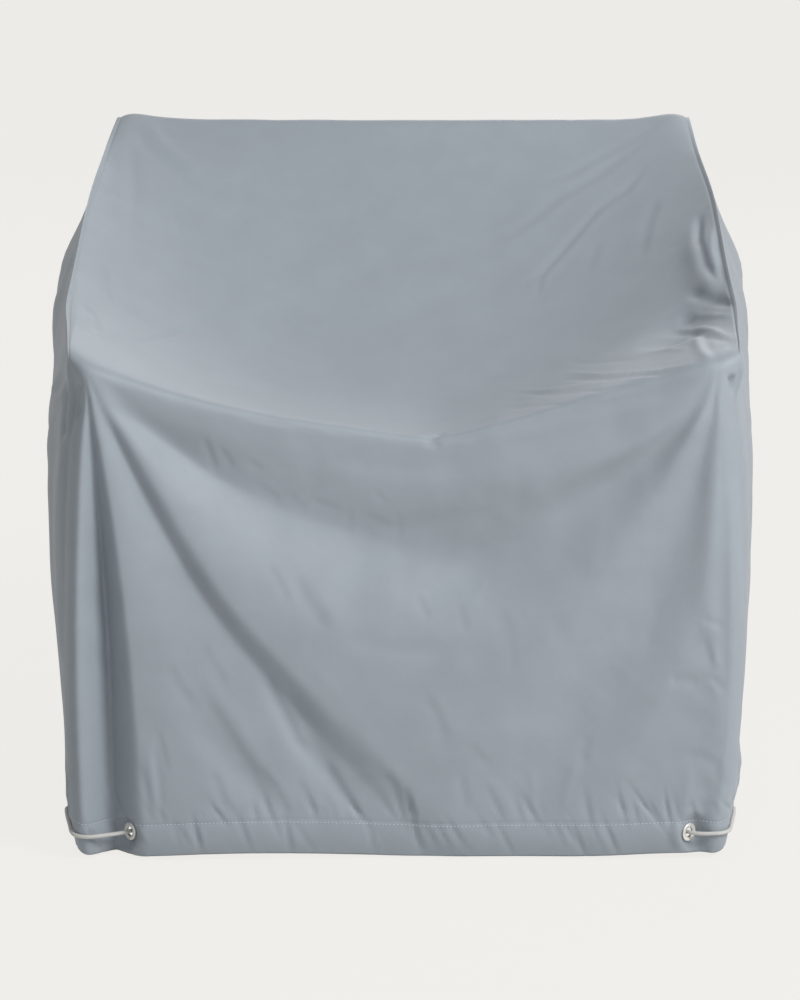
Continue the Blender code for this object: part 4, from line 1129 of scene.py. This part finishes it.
def braid_object(name, route, sizes, finish):
    """A round braid: strands wound both ways, each crossing over and under the others."""
    path = smooth_route(route, 0.0006)
    sides, ups = frames_along(path)
    along = distances(path)
    around = np.linspace(0, 2 * math.pi, 33)[:-1]
    s, angle = np.meshgrid(along, around, indexing="ij")
    strands, lay = 8, sizes.braid_lay
    right = strands / 2 * angle / math.pi + strands * s / lay
    left = strands / 2 * angle / math.pi - strands * s / lay
    over = 0.5 + 0.5 * np.cos(math.pi * (right - left) / 2) * np.cos(math.pi * (right + left) / 2)
    ridge_right = np.abs(np.cos(math.pi * right / 2))
    ridge_left = np.abs(np.cos(math.pi * left / 2))
    height = over * ridge_right + (1 - over) * ridge_left
    radius = sizes.cord_width / 2 - 0.00045 * (1 - height)
    ends = np.minimum(along, along[-1] - along)
    radius = radius * np.sqrt(np.clip(ends / 0.0015, 0.02, 1))[:, None]
    spokes = sides[:, None] * np.cos(angle)[..., None] + ups[:, None] * np.sin(angle)[..., None]
    points = path[:, None] + spokes * radius[..., None]
    rings, count = points.shape[:2]
    index = np.arange(rings * count).reshape(rings, count)
    after = np.roll(index, -1, axis=1)
    quads = np.stack([index[:-1], after[:-1], after[1:], index[1:]], -1).reshape(-1, 4)
    mesh = bpy.data.meshes.new(name)
    caps = [index[0][::-1].tolist(), index[-1].tolist()]
    mesh.from_pydata(to_object(points.reshape(-1, 3)).tolist(), [], quads.tolist() + caps)
    lay_uv(mesh, "braid", np.stack([angle * sizes.cord_width / 2, s], -1).reshape(-1, 2))
    # Painted shade: strongest in the valleys between the strands, read by the cord's material.
    shade = mesh.attributes.new("painted_strand_shade", "FLOAT", "POINT")
    shade.data.foreach_set("value", np.clip(1.6 * (1 - height), 0, 1).ravel())
    mesh.materials.append(finish)
    mesh.shade_smooth()
    face_outwards(mesh)
    return new_object(name, mesh), to_object(path[::6]), float(along[-1])


def ring_profile(ring):
    """A rolled grommet and its washer: radius and height over the cloth, from the bore outwards."""
    hole, barrel, rim, washer = ring["hole"], ring["barrel"], ring["rim"], ring["washer"]
    crown, wide = ring["crown"], ring["rim"] - ring["hole"]
    turned = [
        (hole + wide * (0.46 - 0.46 * math.cos(t)), crown * (0.25 + 0.80 * math.sin(t) ** 0.8))
        for t in np.linspace(0.0, math.pi * 0.86, 14)
    ]
    lip = [(rim, 0.22 * crown), (rim - 0.0001, 0.0003), (rim - 0.0006, 0.0001)]
    barrel_wall = [(barrel, 0.0001), (barrel, -CLOTH_THICKNESS)]
    back = [
        (washer, -CLOTH_THICKNESS),
        (washer - 0.0002, -CLOTH_THICKNESS - 0.0006),
        (barrel + 0.0006, -CLOTH_THICKNESS - 0.0010),
        (hole + 0.0003, -CLOTH_THICKNESS - 0.0008),
        (hole, -CLOTH_THICKNESS - 0.0003),
    ]
    return turned + lip + barrel_wall + back


def eyelet_object(name, centre, turn, ring, finish):
    profile = np.array(ring_profile(ring))
    around = np.linspace(0, 2 * math.pi, 65)[:-1]
    rings = np.stack(
        [
            profile[:, None, 0] * np.cos(around),
            profile[:, None, 0] * np.sin(around),
            np.broadcast_to(profile[:, 1:], (len(profile), len(around))),
        ],
        -1,
    )
    index = np.arange(rings.shape[0] * rings.shape[1]).reshape(rings.shape[:2])
    after, above = np.roll(index, -1, axis=1), np.roll(index, -1, axis=0)
    corner = np.roll(above, -1, axis=1)
    quads = np.stack([index, above, corner, after], -1).reshape(-1, 4)
    mesh = bpy.data.meshes.new(name)
    mesh.from_pydata(rings.reshape(-1, 3).tolist(), [], quads.tolist())
    # Painted shade: 1 on the rim, falling to 0.06 down the barrel and on the washer's back, to
    # darken the inside of the ring.
    painted_shade_factor = mesh.attributes.new("painted_shade_factor", "FLOAT", "POINT")
    heights = np.clip((rings[..., 2].ravel() + 0.0016) / 0.0018, 0.06, 1)
    painted_shade_factor.data.foreach_set("value", heights.astype(np.float32))
    out = Vector(facing(turn))
    turned = out.to_track_quat("Z", "Y").to_matrix().to_4x4()
    mesh.transform(Matrix.Translation(Vector(centre) - ORIGIN_IN_HEM_FRAME) @ turned)
    face_outwards(mesh)
    mesh.materials.append(finish)
    mesh.shade_smooth()
    return new_object(name, mesh)


def stitch_tree(finish):
    """Geometry Nodes that lay one short thread after another along a curve."""
    tree = bpy.data.node_groups.new("stitches", "GeometryNodeTree")
    face = tree.interface
    face.new_socket("Geometry", in_out="INPUT", socket_type="NodeSocketGeometry")
    for name in ("Pitch", "Length", "Thickness", "Slant"):
        face.new_socket(name, in_out="INPUT", socket_type="NodeSocketFloat")
    face.new_socket("Geometry", in_out="OUTPUT", socket_type="NodeSocketGeometry")
    nodes, links = tree.nodes, tree.links
    start = nodes.new("NodeGroupInput").outputs
    to_curve = nodes.new("GeometryNodeMeshToCurve")
    fill(links, to_curve, {"Mesh": start["Geometry"]})
    spaced = nodes.new("GeometryNodeResampleCurve")
    spaced.mode = "LENGTH"
    fill(links, spaced, {"Curve": to_curve.outputs["Curve"], "Length": start["Pitch"]})
    tangent = nodes.new("GeometryNodeInputTangent").outputs["Tangent"]
    along = nodes.new("FunctionNodeAlignEulerToVector")
    along.axis = "X"
    fill(links, along, {"Vector": tangent})
    lean = nodes.new("FunctionNodeRandomValue")
    lean.data_type = "FLOAT"
    fill(links, lean, {"Seed": 7})
    least, most = (
        next(socket for socket in lean.inputs if socket.name == name and socket.enabled)
        for name in ("Min", "Max")
    )
    links.new(math_node(nodes, links, "MULTIPLY", start["Slant"], -1), least)
    links.new(start["Slant"], most)
    turn = fill(links, nodes.new("ShaderNodeCombineXYZ"), {"Y": lean.outputs[1]})
    leaned = nodes.new("FunctionNodeRotateEuler")
    leaned.rotation_type = "EULER"
    leaned.space = "LOCAL"
    turns = {"Rotation": along.outputs["Rotation"], "Rotate By": turn.outputs["Vector"]}
    fill(links, leaned, turns)
    thread = nodes.new("GeometryNodeMeshUVSphere")
    fill(links, thread, {"Segments": 6, "Rings": 4, "Radius": 0.5})
    size = {"X": start["Length"], "Y": start["Thickness"], "Z": start["Thickness"]}
    size = fill(links, nodes.new("ShaderNodeCombineXYZ"), size)
    placed = {
        "Points": spaced.outputs["Curve"],
        "Instance": thread.outputs["Mesh"],
        "Rotation": leaned.outputs["Rotation"],
        "Scale": size.outputs["Vector"],
    }
    place = fill(links, nodes.new("GeometryNodeInstanceOnPoints"), placed)
    real = nodes.new("GeometryNodeRealizeInstances")
    fill(links, real, {"Geometry": place.outputs["Instances"]})
    coat = nodes.new("GeometryNodeSetMaterial")
    fill(links, coat, {"Material": finish, "Geometry": real.outputs["Geometry"]})
    fill(links, nodes.new("NodeGroupOutput"), {"Geometry": coat.outputs["Geometry"]})
    return tree


def stitches_object(name, lines, sizes, finish):
    """Stitches along lines of points, made plain mesh."""
    starts = np.cumsum([0] + [len(line) for line in lines])
    edges = [
        (int(start + k), int(start + k + 1))
        for start, line in zip(starts, lines)
        for k in range(len(line) - 1)
    ]
    mesh = bpy.data.meshes.new(name + "_lines")
    mesh.from_pydata(to_object(np.concatenate(lines)).tolist(), edges, [])
    guide = new_object(name + "_lines", mesh)
    modifier = guide.modifiers.new("stitches", "NODES")
    modifier.node_group = stitch_tree(finish)
    inputs = {
        "Pitch": sizes.stitch_pitch,
        "Length": sizes.stitch_pitch * 0.58,
        "Thickness": sizes.thread_width,
        "Slant": 0.10,
    }
    for item in modifier.node_group.interface.items_tree:
        if item.in_out == "INPUT" and item.name in inputs:
            modifier[item.identifier] = inputs[item.name]
    graph = bpy.context.evaluated_depsgraph_get()
    plain = bpy.data.meshes.new_from_object(guide.evaluated_get(graph))
    bpy.data.objects.remove(guide)
    plain.name = name
    plain.shade_smooth()
    return new_object(name, plain)


# Settings, operators and panel


class CoverSizes(bpy.types.PropertyGroup):
    """Sizes and colours of the cover's looks"""

    hem_height: bpy.props.FloatProperty(
        name="Hem height",
        description="From the lower edge to the hem's line of stitches",
        default=0.045,
        min=0.01,
        max=0.10,
        subtype="DISTANCE",
        unit="LENGTH",
    )
    crumple: bpy.props.FloatProperty(
        name="Crumple",
        description="Height of the cloth's soft unevenness",
        default=0.0006,
        min=0,
        max=0.003,
        subtype="DISTANCE",
        unit="LENGTH",
    )
    hem_tuck: bpy.props.FloatProperty(
        name="Hem tuck",
        description="How far the cord draws the lower edge in",
        default=0.0070,
        min=0,
        max=0.02,
        subtype="DISTANCE",
        unit="LENGTH",
    )
    pucker_depth: bpy.props.FloatProperty(
        name="Pucker depth",
        description="Deepest of the small gathers along the hem",
        default=0.0034,
        min=0,
        max=0.008,
        subtype="DISTANCE",
        unit="LENGTH",
    )
    seam_ridge: bpy.props.FloatProperty(
        name="Seam ridge",
        description="How far the two cloths of a seam stand up together",
        default=0.0020,
        min=0,
        max=0.006,
        subtype="DISTANCE",
        unit="LENGTH",
    )
    yarn_pitch: bpy.props.FloatProperty(
        name="Yarn pitch",
        description="Between one yarn of the weave and the next",
        default=0.00055,
        min=0.0002,
        max=0.002,
        subtype="DISTANCE",
        unit="LENGTH",
    )
    cord_width: bpy.props.FloatProperty(
        name="Cord width",
        description="Across the braided cord",
        default=0.0055,
        min=0.002,
        max=0.010,
        subtype="DISTANCE",
        unit="LENGTH",
    )
    braid_lay: bpy.props.FloatProperty(
        name="Braid lay",
        description="Length of cord in which a strand goes once round",
        default=0.016,
        min=0.004,
        max=0.05,
        subtype="DISTANCE",
        unit="LENGTH",
    )
    stitch_pitch: bpy.props.FloatProperty(
        name="Stitch pitch",
        description="From one stitch to the next",
        default=0.0052,
        min=0.001,
        max=0.01,
        subtype="DISTANCE",
        unit="LENGTH",
    )
    thread_width: bpy.props.FloatProperty(
        name="Thread width",
        description="Across the sewing thread",
        default=0.0011,
        min=0.0002,
        max=0.002,
        subtype="DISTANCE",
        unit="LENGTH",
    )
    cloth_colour: bpy.props.FloatVectorProperty(
        name="Cloth colour",
        description="The coated weave",
        default=(0.300, 0.336, 0.371),
        min=0,
        max=1,
        size=3,
        subtype="COLOR",
    )
    thread_colour: bpy.props.FloatVectorProperty(
        name="Thread colour",
        description="The sewing thread",
        default=(0.56, 0.60, 0.64),
        min=0,
        max=1,
        size=3,
        subtype="COLOR",
    )
    metal_colour: bpy.props.FloatVectorProperty(
        name="Metal colour",
        description="The lacquered metal of the eyelets",
        default=(0.80, 0.78, 0.73),
        min=0,
        max=1,
        size=3,
        subtype="COLOR",
    )
    cord_colour: bpy.props.FloatVectorProperty(
        name="Cord colour",
        description="The braided cord",
        default=(0.78, 0.77, 0.74),
        min=0,
        max=1,
        size=3,
        subtype="COLOR",
    )


class CoverStage(bpy.types.PropertyGroup):
    """Light, floor and camera of the picture"""

    focal_length: bpy.props.FloatProperty(
        name="Focal length",
        description="Of the camera, in millimetres",
        default=138.96,
        min=20,
        max=300,
    )
    camera_place: bpy.props.FloatVectorProperty(
        name="Camera place",
        description="Where the camera stands",
        default=(0.0, -5.750, 0.6025),
        size=3,
        subtype="TRANSLATION",
        unit="LENGTH",
    )
    camera_pitch: bpy.props.FloatProperty(
        name="Camera pitch",
        description="How far the camera looks down",
        default=math.radians(11.55),
        subtype="ANGLE",
    )
    floor_height: bpy.props.FloatProperty(
        name="Floor height",
        description="The floor, just under the hem",
        default=-0.9145,
        subtype="DISTANCE",
        unit="LENGTH",
    )
    floor_size: bpy.props.FloatProperty(
        name="Floor size",
        description="Across the floor",
        default=60.0,
        subtype="DISTANCE",
        unit="LENGTH",
    )
    floor_colour: bpy.props.FloatVectorProperty(
        name="Floor colour",
        description="What the floor reflects onto the cover",
        default=(0.82, 0.81, 0.79),
        min=0,
        max=1,
        size=3,
        subtype="COLOR",
    )
    floor_glow: bpy.props.FloatProperty(
        name="Floor glow",
        description="Share of the floor's paleness that no shadow darkens",
        default=0.96,
        min=0,
        max=3,
    )
    floor_shade: bpy.props.FloatProperty(
        name="Floor shade",
        description="How much of the light and the shadow shows on the floor",
        default=0.05,
        min=0,
        max=1,
    )
    backdrop_colour: bpy.props.FloatVectorProperty(
        name="Backdrop colour",
        description="Behind the cover",
        default=(0.863, 0.847, 0.815),
        min=0,
        max=1,
        size=3,
        subtype="COLOR",
    )
    fill_colour: bpy.props.FloatVectorProperty(
        name="Fill colour",
        description="The even light from all round",
        default=(0.96, 0.98, 1.0),
        min=0,
        max=1,
        size=3,
        subtype="COLOR",
    )
    fill_strength: bpy.props.FloatProperty(
        name="Fill strength",
        description="How strong the even light is",
        default=0.37,
        min=0,
        max=3,
    )
    key_place: bpy.props.FloatVectorProperty(
        name="Key place",
        description="Where the key light stands",
        default=(3.05, -3.45, 2.80),
        size=3,
        subtype="TRANSLATION",
        unit="LENGTH",
    )
    key_power: bpy.props.FloatProperty(
        name="Key power",
        description="The soft light from the upper right, in watts",
        default=230.0,
        min=0,
    )
    rear_place: bpy.props.FloatVectorProperty(
        name="Rear light place",
        description="Where the rear light stands",
        default=(0.8, 5.4, 2.6),
        size=3,
        subtype="TRANSLATION",
        unit="LENGTH",
    )
    rear_power: bpy.props.FloatProperty(
        name="Rear light power",
        description="The soft light on the rear, which the front doesn't catch, in watts",
        default=70.0,
        min=0,
    )


def line_over_hem(points, out, up, height):
    """The line across a cloth at one height over its lower edge, a hair outside the cloth."""
    line = []
    for column in range(points.shape[1]):
        row = int(np.searchsorted(up[:, column], height))
        share = (height - up[row - 1, column]) / (up[row, column] - up[row - 1, column])
        place = points[row - 1, column] + (points[row, column] - points[row - 1, column]) * share
        line.append(place + out[row, column] * THREAD_LIFT)
    return np.array(line)


def stitch_lines(main_points, main_out, sides, sizes):
    """Where the thread runs: all round the hem, along its upper edge."""
    low, low_rear = slice(0, 90), slice(0, 25)
    runs = [(main_points, main_out, low), (main_points[::-1], main_out[::-1], low_rear)]
    runs += [(points, out, low) for points, out in sides.values()]
    return [
        line_over_hem(points[rows], out[rows], over_hem(points)[rows], sizes.hem_height)
        for points, out, rows in runs
    ]


class COVER_OT_cords(bpy.types.Operator):
    """Builds the two braided draw cords"""

    bl_idname = "cover.cords"
    bl_label = "Draw cords"

    def execute(self, context):
        sizes = context.scene.cover_sizes
        finish = braided_cord(sizes)
        for name, route in CORDS:
            made, path, length = braid_object("braid_" + name, route, sizes, finish)
            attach(made, "root")
            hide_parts(name)
        return {"FINISHED"}


class COVER_OT_camera(bpy.types.Operator):
    """Sets up the camera of the picture"""

    bl_idname = "cover.camera"
    bl_label = "Camera"

    def execute(self, context):
        stage = context.scene.cover_stage
        data = bpy.data.cameras.new("camera")
        data.lens = stage.focal_length
        data.sensor_width = 36
        camera = new_object("camera", data)
        camera.location = stage.camera_place
        camera.rotation_euler = (math.pi / 2 - stage.camera_pitch, 0, 0)
        context.scene.camera = camera
        return {"FINISHED"}


class COVER_OT_cloth(bpy.types.Operator):
    """Drapes the main panel and the side panels, and sews them"""

    bl_idname = "cover.cloth"
    bl_label = "Cloth and stitches"

    def execute(self, context):
        sizes = context.scene.cover_sizes
        finish = coated_weave(sizes)
        main_points, main_out = dressed_main(sizes)
        sides = {}
        for side in (-1, 1):
            side_points, side_out = dressed_side(side, sizes)
            sides[side] = (weld_to_main(side, side_points, main_points), side_out)
        holes = [
            (centre, 0.5 * (ring["barrel"] + ring["rim"])) for _, _, centre, _, ring in EYELETS
        ]
        whole = roll_hem(roll_hem(main_points, main_out, True), main_out, False)
        made = grid_object("cloth_main_panel", whole, finish, holes)
        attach(made, "root")
        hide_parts("main_panel")
        for side, name in ((-1, "side_panel_left"), (1, "side_panel_right")):
            points, out = sides[side]
            rolled = roll_hem(points, out, True)
            made = grid_object("cloth_" + name, rolled, finish, holes, flip=side < 0)
            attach(made, "root")
            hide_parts(name)
        lines = stitch_lines(main_points, main_out, sides, sizes)
        made = stitches_object("stitches", lines, sizes, sewing_thread(sizes))
        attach(made, "root")
        return {"FINISHED"}


class COVER_OT_eyelets(bpy.types.Operator):
    """Sets the rolled eyelets"""

    bl_idname = "cover.eyelets"
    bl_label = "Eyelets"

    def execute(self, context):
        finish = lacquered_metal(context.scene.cover_sizes)
        for name, _, centre, turn, ring in EYELETS:
            made = eyelet_object("rolled_" + name, centre, turn, ring, finish)
            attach(made, "root")
            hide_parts(name)
        return {"FINISHED"}


COVER_MIDDLE = (0.0, -0.4, -0.35)


def soft_light(name, place, power):
    """A broad round light that shines on the cover's middle."""
    light = bpy.data.lights.new(name, "AREA")
    light.shape = "DISK"
    light.size = 2.2
    light.energy = power
    made = new_object(name, light)
    made.location = place
    aim = Vector(COVER_MIDDLE) - made.location
    made.rotation_euler = aim.to_track_quat("-Z", "Y").to_euler()
    return made


class COVER_OT_stage(bpy.types.Operator):
    """Lays the floor and sets the lights"""

    bl_idname = "cover.stage"
    bl_label = "Stage"

    def execute(self, context):
        stage = context.scene.cover_stage
        scene = context.scene
        half = stage.floor_size / 2
        mesh = bpy.data.meshes.new("floor")
        corners = [(-half, -half), (half, -half), (half, half), (-half, half)]
        mesh.from_pydata([(x, y, stage.floor_height) for x, y in corners], [], [(0, 1, 2, 3)])
        mesh.materials.append(pale_floor(stage))
        floor = new_object("floor", mesh)
        key = soft_light("key", stage.key_place, stage.key_power)
        rear = soft_light("rear_light", stage.rear_place, stage.rear_power)
        scene.world = backdrop(stage)
        scene.view_settings.view_transform = "Standard"
        return {"FINISHED"}


class COVER_PT_panel(bpy.types.Panel):
    """Lists the cover's operators and its settings"""

    bl_idname = "COVER_PT_panel"
    bl_label = "Patio chair cover"
    bl_space_type = "VIEW_3D"
    bl_region_type = "UI"
    bl_category = "Cover"

    def draw(self, context):
        for operator in OPERATORS:
            self.layout.operator(operator.bl_idname)
        for settings in (context.scene.cover_sizes, context.scene.cover_stage):
            box = self.layout.box()
            for name in settings.__annotations__:
                box.prop(settings, name)


OPERATORS = (COVER_OT_camera, COVER_OT_cords, COVER_OT_cloth, COVER_OT_eyelets, COVER_OT_stage)
CLASSES = (CoverSizes, CoverStage, *OPERATORS, COVER_PT_panel)


def register():
    for item in CLASSES:
        bpy.utils.register_class(item)
    bpy.types.Scene.cover_sizes = bpy.props.PointerProperty(type=CoverSizes)
    bpy.types.Scene.cover_stage = bpy.props.PointerProperty(type=CoverStage)


def unregister():
    del bpy.types.Scene.cover_stage
    del bpy.types.Scene.cover_sizes
    for item in reversed(CLASSES):
        bpy.utils.unregister_class(item)


def main():
    register()
    bpy.ops.cover.camera()
    bpy.ops.cover.cords()
    bpy.ops.cover.cloth()
    bpy.ops.cover.eyelets()
    bpy.ops.cover.stage()


if __name__ == "__main__":
    main()
